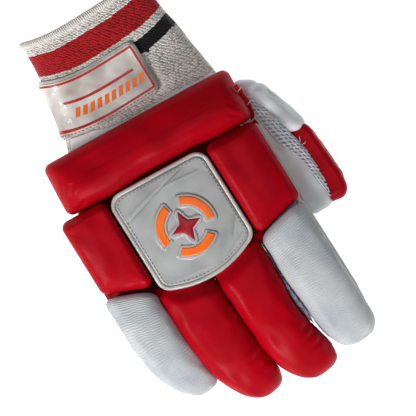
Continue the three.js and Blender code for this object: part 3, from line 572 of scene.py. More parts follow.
def stall_points(finger, grow, start, rows, cols, swell=lambda *place: 0.0):
    to = finger["length"] + grow
    along = np.concatenate([np.linspace(start, to - STALL_END_ROUND, rows - 14, endpoint=False),
                            to - STALL_END_ROUND * np.cos(np.linspace(0, math.pi / 2, 14))])
    inset = end_round(to - along, STALL_END_ROUND, STALL_END_ROUND * 0.8)
    half = finger["half"] - STALL_INSET + grow - inset
    tall = STALL_HALF_HEIGHT + grow - inset
    angles = round_angles(cols)
    points = finger_points(finger, along, -half, half, -tall, tall, angles, -grow,
                           swell=swell(finger, along[:, None], angles[None, :]))
    return points, join(np.linspace(0, STALL_ROUND, cols + 1), along[:, None])


def combine(tree, kind, *values):
    return node(tree, "Math", dict(enumerate(values)), operation=kind).outputs["Value"]


def blend(tree, share, a, b):
    """Mixes two heights."""
    return node(tree, "Mix", {0: share, 2: a, 3: b}, data_type="FLOAT").outputs[0]


def uv_axes(tree):
    """The place round the piece and the place along it, as two sockets."""
    return node(tree, "SeparateXYZ", {"Vector": own_uv(tree)}).outputs[:2]


def stall_material():
    """Leather below and cotton at the sides, told apart by the place round the finger."""
    material, tree, shader = new_material("stall leather and cotton")
    share = combine(tree, "DIVIDE", uv_axes(tree)[0], STALL_ROUND)
    is_leather = ramp(tree, share, [(0, 0), (0.605, 0), (0.612, 1), (0.888, 1), (0.895, 0)])
    weave = node(tree, "TexWave", {"Vector": own_uv(tree), "Scale": 2.2, "Distortion": 1.0},
                 wave_type="BANDS").outputs["Fac"]
    patches = noise(tree, 70, 4)
    cotton = ramp(tree, patches, [(0.3, "#c9c8dc"), (0.7, "#a9a8c4")])
    underside = ramp(tree, patches, [(0.3, "#dcdad4"), (0.7, "#c9c5bb")])
    height = blend(tree, is_leather, weave, cells(tree, 1000))
    feed(shader, {"Base Color": mix(tree, is_leather, cotton, underside),
                  "Normal": bump(tree, height, 0.35, 0.0003), "Roughness": 0.75})
    return material


STALL = stall_material()


def stall_swell(finger, along, angles):
    """The side strips bulge towards the next finger, gather where the finger bends, and have a
    welt along their seams."""
    sides = np.abs(np.cos(angles)) ** 6
    room = np.where(np.cos(angles) > 0, finger["far_room"], finger["near_room"])
    bulge = room * sides * smooth(1.5 - along / STALL_BEND)
    wave = np.sin(along * 2 * math.pi / GATHER_PITCH + 1.5 * np.sin(along / 6)) - 1
    gathers = GATHER_DEPTH * wave * sides * smooth(along / STALL_BEND)
    welt = sum(np.exp(-((angles - seam) / 0.07) ** 2) for seam in STALL_WELTS)
    under = np.clip(-np.sin(angles), 0, 1) ** 2
    folds = sum(np.exp(-((along - fold) / 1.6) ** 2) for fold in STALL_FOLDS)
    return bulge + gathers + STALL_WELT_HEIGHT * welt - STALL_FOLD_DEPTH * under * folds


bores = []
for finger in FINGERS:
    outer, uv = stall_points(finger, 0.0, 0.0, 90, 72, stall_swell)
    inner, inner_uv = stall_points(finger, -LEATHER_WALL, 0.0, 30, 72)
    stall = grid_object(f"{finger['name']}_pocket", np.concatenate([inner[::-1], outer]),
                        np.concatenate([inner_uv[::-1], uv]))
    dress(stall, STALL, "cotton", f"{finger['name']}_stall")
    bore, _ = stall_points(finger, -LEATHER_WALL, -8.0, 24, 36)
    bores.append(grid_object("bore", bore))

# A fold of the back's leather closes the fork between two fingers. It is in the darker red
# leather, which paints the shade between the rolls.
FORK_DEPTH = 9
FORK_LOW, FORK_HIGH = 10, 41
FORK_HOLLOW = 4
FORK_BOW = 1.2
FORK_LAP = STALL_INSET + 1
turn = np.linspace(0, math.pi, 16)[:, None]
rise = np.linspace(0, math.pi, 12)[None, :]
for near_finger, far_finger in zip(FINGERS[1:], FINGERS[:-1]):
    west = near_finger["x"] + near_finger["half"] - FORK_LAP
    east = far_finger["x"] - far_finger["half"] + FORK_LAP
    x = (west + east) / 2 - (east - west) / 2 * np.cos(turn)
    y = KNUCKLE_Y - FORK_DEPTH + FORK_HOLLOW * (1 - np.sin(turn)) - FORK_BOW * np.sin(rise)
    z = FORK_LOW + (FORK_HIGH - FORK_LOW) * rise / math.pi
    dress(slab_object(f"{near_finger['name']}_fork", join(x, y, z), join(x, KNUCKLE_Y - 0.3, z)),
          SHADED_RED, "red_leather")

# The front wall of the hand, where the stalls are sewn in
wall_rows = [skin_points(hand, y, np.linspace(0, 2 * math.pi, 96, endpoint=False), -0.4)
             for y in (KNUCKLE_Y, KNUCKLE_Y + LEATHER_WALL)]
wall = grid_object("knuckle_wall", np.array(wall_rows))
carve(wall, *bores)
discard(*bores)
dress(wall, RED, "red_leather")
dress(palm, PALM, "palm_leather", "palm_leather")
# The back's leather is the darker red: painted shade between the pads.
dress(back, SHADED_RED, "red_leather", "back_leather")

# Side blocks
#
# Two foam blocks covered with red leather, at both sides of the badge. Their leather is drawn
# down at the edges, so it is tight on the corners and puckers near the seams.

BAR_TURN = math.radians(-3.4)
BAR_X = 5
BAR_Y = WRIST_Y - 9
BAR_HALF_WIDTH = 16.2
BAR_HALF_LENGTH = HAND_HALF_WIDTH - 2.5
BADGE_X = -1.6
BADGE_HALF_WIDTH = 31.2
BLOCK_THICKNESS = 20
BLOCK_EDGE_ROUND = 5
BLOCK_CORNER_ROUND = 4.5
BLOCK_OVERHANG = 0.45
BLOCK_RIDGE_INSET = 14
BLOCK_PUCKER = dict(pitch=4.1, depth=0.3, reach=2.2)
PAD_SINK = 9
PAD_CROWN = 1.6


def bar_edge(x, side):
    """The wrist bar's upper (1) or lower (-1) edge at x."""
    return BAR_Y + side * BAR_HALF_WIDTH + (x - BAR_X) * math.tan(BAR_TURN)


def rounded_outline(corners, inset=0.0, step=0.8):
    """A closed line of even steps: a polygon's sides moved in and its corners (x, y, round)
    rounded."""
    corners = np.array(corners, float)
    sides = np.roll(corners, -1, axis=0)[:, :2] - corners[:, :2]
    along = sides / np.linalg.norm(sides, axis=1)[:, None]
    inward = np.column_stack([-along[:, 1], along[:, 0]])
    start = corners[:, :2] + inward * inset
    path = []
    for i in range(len(corners)):
        turn = math.acos(np.clip(along[i - 1] @ along[i], -1, 1))
        cross = along[i - 1][0] * along[i][1] - along[i - 1][1] * along[i][0]
        bend = math.copysign(1, cross)
        gap = start[i] - start[i - 1]
        reach = (gap[0] * along[i][1] - gap[1] * along[i][0]) / cross
        radius = max(corners[i, 2] - bend * inset, 0.8)
        first = start[i - 1] + along[i - 1] * (reach - radius * math.tan(turn / 2))
        centre = first + inward[i - 1] * radius * bend
        for angle in np.linspace(0, bend * turn, 14):
            c, s = math.cos(angle), math.sin(angle)
            dx, dy = first - centre
            path.append(centre + [c * dx - s * dy, s * dx + c * dy])
    ring = np.vstack([path, path[:1]])
    length = running_length(ring)
    even = np.linspace(0, length[-1], int(length[-1] / step), endpoint=False)
    return join(*[np.interp(even, length, ring[:, k]) for k in (0, 1)]), length[-1]


def edge_distance(points, outline, spacing):
    """Distance from points to an outline, smoothed where two sides are as near."""
    gaps = ((points[:, :1] - outline[:, 0]) ** 2 + (points[:, 1:] - outline[:, 1]) ** 2
            + spacing ** 2)
    near = (gaps ** -3).sum(axis=1) * spacing / 1.178
    return np.sqrt(np.maximum(near ** -0.4 - spacing ** 2, 0))


def pillow(name, corners, spine, thickness, round_, base, shape=lambda x, y, edge: 0.0,
           sink=PAD_SINK, crown=PAD_CROWN, tuck=2.4, rows=46, step=0.8, inset=0.0,
           place=lambda grid: grid):
    """A padded body on an outline. spine is the line that its face closes on, base(x, y) the
    height that it stands on, shape(x, y, edge) what is added to its face at a distance from its
    edge, tuck how far its sides draw in at the foot, and place a move of the finished points."""
    outline, perimeter = rounded_outline(corners, inset, step)
    a, b = (np.array(p, float) for p in spine)
    t = np.clip((outline - a) @ (b - a) / max((b - a) @ (b - a), 1e-6), 0, 1)
    inward = a + t[:, None] * (b - a) - outline
    widths = np.linalg.norm(inward, axis=1)
    grid = []
    for h in np.linspace(0, 1, 10, endpoint=False):
        x, y = (outline + inward * (tuck * (1 - h) ** 2 / widths)[:, None]).T
        grid.append(join(x, y, base(x, y) - sink + h * (sink + thickness - round_)))
    for share in 0.985 * np.linspace(0, 1, rows) ** 1.5:
        xy = outline + inward * share
        x, y = xy.T
        edge = edge_distance(xy, outline, 0.9 * step) if share else np.zeros(len(xy))
        near = np.clip(1 - edge / round_, 0, 1)
        rise = (base(x, y) + thickness - round_ + round_ * np.sqrt(1 - near ** 2)
                + crown * (1 - np.exp(-(edge / widths.min()) ** 2 * 3)))
        grid.append(join(x, y, rise + shape(x, y, edge) * smooth(edge / (0.35 * round_))))
    grid = place(np.array(grid))
    steps = np.linalg.norm(np.diff(grid, axis=0), axis=2).mean(axis=1)
    uv = join(np.linspace(0, perimeter, len(outline) + 1), np.cumsum([0, *steps])[:, None])
    return grid_object(name, grid, uv, ends="face")


def pulled_edge(edge, around, pitch, depth, reach):
    """Small puckers at an edge seam that fade towards the middle."""
    return -depth * (0.5 + 0.5 * np.sin(around * 2 * math.pi / pitch)) * np.exp(-edge / reach)


index, middle, ring, little = FINGERS
# Each block's sides, how deep and how far it slopes down under the edge of the wrist bar, and
# the folds in its leather
BLOCKS = [
    dict(finger=little, west=-HAND_HALF_WIDTH - BLOCK_OVERHANG,
         east=BADGE_X - BADGE_HALF_WIDTH - PAD_SPACE, depth=2, run=5, seed=21,
         folds=[dict(x0=-44, y0=33, x1=-47, y1=-8, depth=0.5, width=3.5),
                dict(x0=-58, y0=26, x1=-55, y1=-8, depth=-0.5, width=4.0)]),
    dict(finger=index, west=BADGE_X + BADGE_HALF_WIDTH + PAD_SPACE,
         east=HAND_HALF_WIDTH + BLOCK_OVERHANG, depth=4.5, run=5.5, seed=22,
         folds=[dict(x0=42, y0=26, x1=44, y1=-18, depth=0.5, width=4.0),
                dict(x0=36, y0=24, x1=35, y1=-18, depth=-0.4, width=3.0)]),
]


def side_block(row):
    finger, west, east = row["finger"], row["west"], row["east"]
    low_y = lambda x: (finger["start_y"] + finger["slope"] * (x - finger["x"]) + PAD_SPACE
                       - finger["overhang"])
    top_y = lambda x: bar_edge(x, -1) - PAD_SPACE
    corners = [(x, side(x), BLOCK_CORNER_ROUND)
               for x, side in [(west, low_y), (east, low_y), (east, top_y), (west, top_y)]]
    centre = (west + east) / 2
    spine = [(centre, low_y(centre) + BLOCK_RIDGE_INSET),
             (centre, top_y(centre) - BLOCK_RIDGE_INSET)]
    base = lambda x, y: back_height(x, y) - row["depth"] * smooth(
        1 - (top_y(x) - y) / row["run"])
    shape = lambda x, y, edge: (0.25 * ripple(x, y, 18, row["seed"]) - creases(x, y, row["folds"])
                                + pulled_edge(edge, x + y, **BLOCK_PUCKER))
    return pillow(f"{finger['name']}_side_pad", corners, spine, BLOCK_THICKNESS,
                  BLOCK_EDGE_ROUND, base, shape)


for row in BLOCKS:
    block = side_block(row)
    dress(block, RED, "red_leather", f"{row['finger']['name']}_block")

# Wrist bar
#
# A long foam roll in red leather across the wrist. Its ridge lies near its lower edge, the
# leather is gathered into a seam at both ends, and it shades the top of the badge.

BAR_THICKNESS = 23
BAR_EDGE_ROUND = 7
BAR_RIDGE = 0.34
BAR_RIDGE_INSET = 15.5
BAR_FRONT_FALL, BAR_REAR_FALL = 4.5, 5.0
BAR_END_FALL, BAR_END_RUN = 3.0, 10
BAR_GATHERS = dict(pitch=4.6, depth=0.7, reach=3.0)
BAR_FOLDS = [
    dict(x0=-50, y0=40, x1=-44, y1=52, depth=0.8, width=1.6),
    dict(x0=-52, y0=46, x1=-47, y1=58, depth=0.5, width=1.4),
    dict(x0=-51, y0=35, x1=-42, y1=40, depth=0.7, width=1.2),
    dict(x0=60, y0=32, x1=52, y1=38, depth=0.6, width=1.3),
    dict(x0=61, y0=37, x1=54, y1=44, depth=0.5, width=1.4),
    dict(x0=-20, y0=38, x1=20, y1=36, depth=0.6, width=3.5),
    dict(x0=5, y0=60.6, x1=8.5, y1=60.2, depth=0.35, width=0.7),
]


def from_bar_end(x):
    return BAR_HALF_LENGTH - np.abs(x - BAR_X)


def bar_base(x, y):
    """The back below the bar, less the fall of a roof with a soft ridge: a short steep face to
    the fingers, a long one behind it, and a slope at each end."""
    across = (y - bar_edge(x, -1)) / (2 * BAR_HALF_WIDTH) - BAR_RIDGE
    run = np.where(across < 0, -across / BAR_RIDGE, across / (1 - BAR_RIDGE))
    fall = np.where(across < 0, BAR_FRONT_FALL, BAR_REAR_FALL) * (np.sqrt(run ** 2 + 0.02) - 0.14)
    near_end = np.clip(1 - from_bar_end(x) / BAR_END_RUN, 0, 1)
    return back_height(x, y) - fall - BAR_END_FALL * near_end ** 1.5


def bar_shape(x, y, edge):
    return (0.3 * ripple(x, y, 30, 31) + pulled_edge(from_bar_end(x), y, **BAR_GATHERS)
            - creases(x, y, BAR_FOLDS))


turned = lambda x, y: (BAR_X + x * math.cos(BAR_TURN) - y * math.sin(BAR_TURN),
                       BAR_Y + x * math.sin(BAR_TURN) + y * math.cos(BAR_TURN))
bar_corners = [(*turned(x * BAR_HALF_LENGTH, y * BAR_HALF_WIDTH), round_)
               for x, y, round_ in [(-1, -1, 4.5), (-0.5, -1.02, 40), (-0.2, -0.9, 30),
                                    (0.4, -0.9, 30), (0.62, -1.02, 30), (1, -1.02, 4.5),
                                    (1, 1, 4.5), (-1, 1, 4.5)]]
bar = pillow("wrist_padded_bar", bar_corners,
             [turned(side * (BAR_HALF_LENGTH - BAR_RIDGE_INSET), 0) for side in (-1, 1)],
             BAR_THICKNESS, BAR_EDGE_ROUND, bar_base, bar_shape, tuck=3.5, step=0.7, rows=60)
dress(bar, RED, "red_leather", "wrist_bar")

# Badge
#
# A silver vinyl panel on its own pad: a moulded cushion with a rounded rim sewn down round its
# edge, a welded groove inside the rim, and a raised emblem with a soft shoulder round it.

BADGE_OVERHANG = 3.4
BADGE_BOW = 13
BADGE_BOW_ROUND = 60
BADGE_CORNER_ROUND = 8.5
BADGE_PAD_THICKNESS = 14
BADGE_SHEET_RISE = 1.9
BADGE_DOME = 1.6
PANEL_WALL = 0.9
PANEL_INSET = 1.9
CUSHION_RISE = 1.3
SHOULDER = dict(gap=1.1, run=0.8, height=0.8)
PIPING_RADIUS = 1.35
SEAM_INSET = 4.0
EMBLEM_Y = -3
EMBLEM_RADIUS = 17
EMBLEM_STROKE = 4.7
ARC_COUNT = 3
ARC_OPENING = 34
STAR_RADIUS = 9.4
STAR_WAIST = 0.42
STAR_POINTS = 4
BADGE_CREASES = [
    dict(x0=-31, y0=15, x1=-10, y1=21, depth=0.5, width=0.55),
    dict(x0=-10, y0=21, x1=14, y1=27, depth=0.45, width=0.5),
    dict(x0=-30, y0=17.5, x1=-6, y1=23.5, depth=-0.35, width=0.9),
    dict(x0=-6, y0=23.5, x1=22, y1=20, depth=-0.25, width=0.9),
    dict(x0=-24, y0=-26, x1=6, y1=-30, depth=-0.3, width=1.1),
    dict(x0=8, y0=-29, x1=27, y1=-20, depth=-0.35, width=0.9),
    dict(x0=18, y0=-22, x1=26, y1=-12, depth=0.3, width=0.9),
]


def vinyl(name, main, dark, roughness, coat=0.55):
    """Smooth vinyl with a faint unevenness that breaks up its reflections."""
    material, tree, shader = new_material(name)
    waves = noise(tree, 90)
    normal = bump(tree, waves, 0.12, 0.0012)
    feed(shader, {"Base Color": ramp(tree, waves, [(0.3, main), (0.75, dark)]),
                  "Normal": normal, "Coat Normal": normal, "Roughness": roughness,
                  "Coat Weight": coat, "Coat Roughness": 0.16})
    return material


SILVER = vinyl("silver vinyl", "#b3b4b3", "#a2a4a4", 0.34)
PALE_SILVER = vinyl("pale silver vinyl", "#c8c6c0", "#b1afaa", 0.34)
ORANGE = vinyl("orange vinyl", "#ff7d12", "#f26a08", 0.38, 0.3)
RED_VINYL = vinyl("red vinyl", "#a80f1c", "#8c0a16", 0.38, 0.3)

west, east = BADGE_X - BADGE_HALF_WIDTH, BADGE_X + BADGE_HALF_WIDTH
badge_low = KNUCKLE_Y - BADGE_OVERHANG
badge_top = lambda x: bar_edge(x, -1) - PAD_SPACE
badge_corners = [(west, badge_low, BADGE_CORNER_ROUND),
                 (BADGE_X, badge_low - BADGE_BOW, BADGE_BOW_ROUND),
                 (east, badge_low, BADGE_CORNER_ROUND),
                 (east, badge_top(east), BADGE_CORNER_ROUND),
                 (west, badge_top(west), BADGE_CORNER_ROUND)]
badge_face = lambda x, y: back_height(x, y) + BADGE_PAD_THICKNESS


RADIAN = 57.3  # degrees


def emblem_distance(x, y):
    """Distance from the emblem's arcs and star, for the shoulder round them."""
    dx, dy = x - BADGE_X, y - EMBLEM_Y
    radius, turn = np.hypot(dx, dy), np.degrees(np.arctan2(dy, dx))
    middle_radius = EMBLEM_RADIUS - EMBLEM_STROKE / 2
    part = 360 / ARC_COUNT
    off = np.abs((turn - 90 + part / 2) % part - part / 2)
    past = np.maximum(ARC_OPENING / 2 - off, 0) / RADIAN * middle_radius
    arc = np.hypot(np.maximum(np.abs(radius - middle_radius) - EMBLEM_STROKE / 2, 0), past)
    wave = np.abs(np.cos(np.radians(turn) * STAR_POINTS / 2)) ** 3
    star = radius - STAR_RADIUS * (STAR_WAIST + (1 - STAR_WAIST) * wave)
    return np.minimum(arc, np.maximum(star, 0))


def badge_shape(x, y, edge):
    """The panel's relief: a groove inside the rim, a cushion, creases and the shoulder."""
    cushion = CUSHION_RISE * smooth((edge - 0.3) / 1.3)
    past = (emblem_distance(x, y) - SHOULDER["gap"]) / SHOULDER["run"]
    return (cushion + SHOULDER["height"] * smooth(1 - past) - creases(x, y, BADGE_CREASES)
            + 0.12 * ripple(x, y, 22, 41))


def badge_surface(x, y):
    """Height of the panel's cushion."""
    reach = np.hypot((x - BADGE_X) / BADGE_HALF_WIDTH, y / BADGE_HALF_WIDTH)
    return badge_face(x, y) + BADGE_SHEET_RISE + BADGE_DOME * (1 - np.clip(reach, 0, 1) ** 2)


badge_spine = [(BADGE_X, -4), (BADGE_X, 4)]
pad_under = pillow("badge_cushion", badge_corners, badge_spine, BADGE_PAD_THICKNESS - 0.6, 2.0,
                   back_height, rows=12, step=1.5, tuck=1.0, inset=1.2)
dress(pad_under, RED, "red_leather", "badge_pad")
panel = pillow("badge_panel", badge_corners, badge_spine, PANEL_WALL, 0.5,
               lambda x, y: badge_surface(x, y) - PANEL_WALL - CUSHION_RISE, badge_shape,
               sink=0.6, crown=0.0, rows=100, step=0.6, tuck=0.0, inset=PANEL_INSET)
dress(panel, SILVER, "silver_vinyl", "badge_sheet")


def across_line(along):
    """The level and the upward direction across a line that runs along."""
    along = along / np.linalg.norm(along, axis=-1, keepdims=True)
    side = np.cross(along, [0, 0, 1.0])
    side = side / np.maximum(np.linalg.norm(side, axis=-1, keepdims=True), 1e-6)
    return side, np.cross(side, along)


def tube(name, path, radius, sides=10, closed=False, squash=1.0):
    """A round cord along a path of points. radius is one size, or one for each point."""
    radius = np.broadcast_to(radius, len(path))[:, None, None]
    along = np.gradient(path, axis=0)
    if closed:
        along = np.roll(path, -1, axis=0) - np.roll(path, 1, axis=0)
    side, up = across_line(along)
    turn = np.linspace(0, 2 * math.pi, sides, endpoint=False)[None, :, None]
    points = path[:, None] + radius * (np.cos(turn) * side[:, None]
                                       + squash * np.sin(turn) * up[:, None])
    uv = join(np.linspace(0, 2 * math.pi * radius.max(), sides + 1),
              np.linspace(0, len(path) * 0.8, len(path))[:, None])
    return grid_object(name, points, uv, loop=closed)


rim_line, _ = rounded_outline(badge_corners, PIPING_RADIUS, 0.7)
rim = tube("badge_rim", join(*rim_line.T, badge_face(*rim_line.T) + 0.6), PIPING_RADIUS, 14,
           closed=True)
dress(rim, PALE_SILVER, "silver_vinyl", "badge_piping")


def stitches(name, path, length, gap, radius, lean=0.0, height=None):
    """A row of sewn stitches along a path, each a short thread that dips at both ends. Where
    height(x, y) is given, the path is flat and closed, and its stitches lie at that height."""
    ring = path if height is None else np.vstack([path, path[:1]])
    run = running_length(ring)
    turn = np.linspace(0, 2 * math.pi, 6, endpoint=False)[:, None]
    arch = radius * np.array([-0.9, 0.25, 0.5, 0.25, -0.9])[:, None]
    bodies, faces = [], []
    for start in np.arange(0.3, run[-1] - length, length + gap):
        places = np.linspace(start, start + length, 5)
        line = [np.interp(places, run, values) for values in ring.T]
        middles = join(*line) if height is None else join(*line, height(*line))
        side, up = across_line(middles[-1] - middles[0])
        middles = middles + side * (lean * np.linspace(-0.5, 0.5, 5))[:, None] + up * arch
        first = 30 * len(bodies)
        faces += (quads(5, 6, True) + first).tolist()
        faces += [[first + k for k in range(6)], [first + 29 - k for k in range(6)]]
        bodies.append(middles[:, None] + radius * (np.cos(turn) * side + np.sin(turn) * up))
    return mesh_object(name, np.reshape(bodies, (-1, 3)), faces)


def thread(name, main):
    material, tree, shader = new_material(name)
    twist = node(tree, "TexWave", {"Vector": position(tree), "Scale": 900, "Distortion": 1.0})
    feed(shader, {"Base Color": main, "Roughness": 0.7,
                  "Normal": bump(tree, twist.outputs["Fac"], 0.4, 0.0001)})
    return material


GREY_THREAD = thread("grey thread", "#7c7f83")
RED_THREAD = thread("red thread", "#b00f1e")
WHITE_THREAD = thread("white thread", "#e4e6ea")
sewn, _ = rounded_outline(badge_corners, SEAM_INSET, 0.7)
badge_seam = stitches("badge_stitches", sewn, 1.5, 0.9, 0.22,
                      height=lambda x, y: badge_surface(x, y) - 0.05)
dress(badge_seam, GREY_THREAD, "silver_vinyl")

# Emblem
#
# Three raised orange arcs and a red star, moulded in coloured vinyl and welded onto the panel.
# Their edges are soft, and the panel's shoulder rises round them.

# Sections of the raised shapes: a share of the way across, or out from the middle, and a height
BAND_SECTION = [(0.0, 0.0), (0.0, 0.6), (0.06, 0.9), (0.16, 1.0), (0.5, 1.08), (0.84, 1.0),
                (0.94, 0.9), (1.0, 0.6), (1.0, 0.0)]
STAR_SECTION = [(1, 0), (1, 0.45), (0.94, 0.65), (0.6, 0.95), (0.25, 1.25), (0.02, 1.35)]
BAND_HEIGHT = 0.7
STAR_HEIGHT = 0.75
EMBLEM_RISE = 0.55

emblem_top = lambda x, y: badge_surface(x, y) + EMBLEM_RISE
emblem_middle = np.array([BADGE_X, EMBLEM_Y])


def raised_rows(inner, outer, section, height):
    """Points over the panel between two edges, a row for each place in the section."""
    rows = []
    for share, z in section:
        x, y = (inner + (outer - inner) * share).T
        rows.append(join(x, y, emblem_top(x, y) + z * height))
    return np.array(rows)


for arc in range(ARC_COUNT):
    start = 90 + arc * 360 / ARC_COUNT + ARC_OPENING / 2
    turn = np.radians(np.linspace(start, start + 360 / ARC_COUNT - ARC_OPENING, 48))
    ray = join(np.cos(turn), np.sin(turn))
    band = raised_rows(emblem_middle + ray * (EMBLEM_RADIUS - EMBLEM_STROKE),
                       emblem_middle + ray * EMBLEM_RADIUS, BAND_SECTION, BAND_HEIGHT)
    arc_body = grid_object(f"orange_arc_{arc + 1}", band.transpose(1, 0, 2))
    dress(arc_body, ORANGE, "orange_vinyl", f"emblem_arc_{arc + 1}")

corner = np.arange(2 * STAR_POINTS)
turn = math.pi / STAR_POINTS * corner[:, None]
reach = np.where(corner % 2, STAR_RADIUS * STAR_WAIST, STAR_RADIUS)[:, None]
star_line = emblem_middle + reach * np.hstack([np.cos(turn), np.sin(turn)])
star_edge = np.array([a + (b - a) * t for a, b in zip(star_line, np.roll(star_line, -1, axis=0))
                      for t in np.linspace(0, 1, 8, endpoint=False)])
star = grid_object("red_star", raised_rows(emblem_middle, star_edge, STAR_SECTION, STAR_HEIGHT))
dress(star, RED_VINYL, "red_vinyl", "emblem_star")

# Finger rolls
#
# One long padded roll on the back of each finger: leather wrapped round foam and closed below.
# The leather lies smooth on top, puckers along its flanks and gathers where it turns in at the
# tip. The two middle rolls are red, the outer ones white with fine wrinkles across.

ROLL_SPREAD = 0.8
ROLL_ROUND = 95  # millimetres of uv round a roll
ROLL_SQUARENESS = 2.7
ROLL_RIDGE = dict(angle=122, spread=10, height=0.35)
FLANKS = 192, 348  # degrees round the roll
FLANK_SPREAD = 16
PUCKER_PITCH = 3.1
PUCKER_DEPTH, TIP_PUCKER_DEPTH = 0.18, 0.3
# Where two rolls draw in, so that the cotton between them shows
MIDDLE_WAIST = dict(along=47, depth=3.2, run=16)
INDEX_WAIST = dict(along=52, depth=1.4, run=15)
BADGE_DIP = 5.0
# Dents and soft folds of each roll: where along and round it (degrees, 90 is the top), how deep
# and how wide
ROLL_FOLDS = [
    dict(finger="middle", along=28, angle=35, depth=0.7, run=3.2, turn=26),
    dict(finger="middle", along=55, angle=36, depth=0.9, run=1.5, turn=26),
    dict(finger="middle", along=59.5, angle=42, depth=1.0, run=1.4, turn=24),
    dict(finger="middle", along=64, angle=46, depth=0.9, run=1.3, turn=22),
    dict(finger="ring", along=49, angle=38, depth=0.9, run=1.4, turn=26),
    dict(finger="ring", along=53.5, angle=44, depth=1.0, run=1.4, turn=24),
    dict(finger="ring", along=58, angle=46, depth=0.8, run=1.3, turn=22),
    dict(finger="ring", along=16, angle=140, depth=0.5, run=6.0, turn=24),
    dict(finger="index", along=20, angle=120, depth=0.5, run=7.0, turn=30),
    dict(finger="little", along=22, angle=60, depth=0.5, run=6.0, turn=30),
]


def roll_swell(finger, along, angles):
    """Folds, flank puckers and the soft ridge along the top of a roll."""
    degrees = np.degrees(angles) % 360
    hump = lambda at, spread: np.exp(-((degrees - at) / spread) ** 2)
    total = (0.18 * ripple(along, degrees / 3, 15, len(finger["name"]))
             + ROLL_RIDGE["height"] * hump(ROLL_RIDGE["angle"], ROLL_RIDGE["spread"]))
    for fold in ROLL_FOLDS:
        if fold["finger"] == finger["name"]:
            dent = np.exp(-((along - fold["along"]) / fold["run"]) ** 2)
            total = total - fold["depth"] * dent * hump(fold["angle"], fold["turn"])
    flanks = sum(hump(at, FLANK_SPREAD) for at in FLANKS)
    pucker = np.sin(along * 2 * math.pi / PUCKER_PITCH + 2 * np.sin(along / 5))
    tip = smooth((along - finger["length"] + 20) / 16)
    return total + (PUCKER_DEPTH + TIP_PUCKER_DEPTH * tip) * pucker * flanks


def roll_points(finger, rows=150, cols=112):
    lean = ROLL_HIGH * math.tan(math.radians(FINGER_RISE))
    begin = KNUCKLE_Y - finger["start_y"] + lean + 0.4 * finger["overhang"]
    to = finger["length"] + 0.45
    near_run, near_depth, far_run, far_depth = (
        finger[key] * finger["half"] for key in ("near_run", "near_depth", "far_run", "far_depth"))
    ease = (1 - np.cos(np.linspace(0, math.pi, rows))) / 2
    along = begin + (to - begin) * (0.55 * ease + 0.45 * np.linspace(0, 1, rows))
    start_inset = end_round(along - begin, ROLL_START_ROUND, ROLL_START_ROUND)
    tip_inset = end_round(to - along, ROLL_TIP_ROUND, ROLL_TIP_ROUND * 0.7)
    half = finger["half"] + ROLL_SPREAD
    near = -half + start_inset + end_round(to - along, near_run, near_depth)
    far = half - start_inset - end_round(to - along, far_run, far_depth)
    draw_in = lambda waist: waist["depth"] * np.exp(
        -((along - waist["along"]) / waist["run"]) ** 2)
    if finger["name"] == "middle":
        far = far - draw_in(MIDDLE_WAIST)
    if finger["name"] == "index":
        near = near + draw_in(INDEX_WAIST)
    angles = round_angles(cols)
    fade = np.maximum(1 - (along - begin) / (2 * finger["half"]), 0)[:, None]
    end = smooth(np.minimum(along - begin, to - along) / 5)[:, None]
    points = finger_points(
        finger, along, near, far, ROLL_LOW + tip_inset, ROLL_HIGH - start_inset - tip_inset,
        angles, 0.0, lambda across: -finger["slope"] * across * fade,
        roll_swell(finger, along[:, None], angles[None, :]) * end, ROLL_SQUARENESS)
    return points, join(np.linspace(0, ROLL_ROUND, cols + 1), along[:, None])


# The badge lies on the two middle rolls: they dip towards its rim and end against it.
badge_line, _ = rounded_outline(badge_corners, -0.1, 0.8)
badge_space = grid_object("badge_space", np.array([join(*badge_line.T, z) for z in (0.0, 90.0)]),
                          ends="face")
for finger in FINGERS:
    points, uv = roll_points(finger)
    near_badge = edge_distance(points[..., :2].reshape(-1, 2), badge_line, 0.8)
    near_badge = near_badge.reshape(points.shape[:2])
    points[..., 2] -= (BADGE_DIP * np.exp(-(near_badge / 5) ** 2)
                       * smooth((points[..., 2] - 18) / 20))
    finger["skin"] = points
    roll = grid_object(f"{finger['name']}_padded_roll", points, uv)
    if finger["name"] in ("middle", "ring"):
        carve(roll, badge_space)
        dress(roll, RED, "red_leather", f"{finger['name']}_roll")
    else:
        dress(roll, WHITE, "white_leather", f"{finger['name']}_roll")
discard(badge_space)

# Seams
#
# The side cotton of neighbouring stalls puffs up between their rolls. A cream tape binds the raw
# edges along the index finger's side. Red thread sews the middle roll's side, and a scrap of red
# tape is stitched over the wrist bar's end seam.

TAPE_RADIUS = 1.3
TAPE_HEIGHT = 28
TAPE_CORNER_DRAW = 1.5
SCRAP_RADIUS = 1.1
FLANK_ANGLE = 20
SEWN_FROM, SEWN_TO = 12, 34
THREAD_RADIUS = 0.22
BAR_END_SEAM = dict(x=[64.4, 65.2, 65.4, 64.6, 63.0, 62.6], y=[50, 45, 39, 33, 28, 24],
                    z=[40, 38, 34, 31, 30, 28])
# The cotton between two fingers' rolls: how far past the knuckles it starts and ends
COTTON_STRIPS = [dict(west=middle, east=index, start=19, end=64, radius=2.2),
                 dict(west=ring, east=middle, start=14, end=42, radius=1.0)]


def flank_line(finger, is_east, y):
    """The places where a roll reaches furthest to one side, as x and z at each y."""
    points = finger["skin"]
    pick = points[..., 0].argmax(1) if is_east else points[..., 0].argmin(1)
    line = points[np.arange(len(points)), pick]
    line = line[np.argsort(line[:, 1])]
    return np.interp(y, line[:, 1], line[:, 0]), np.interp(y, line[:, 1], line[:, 2])


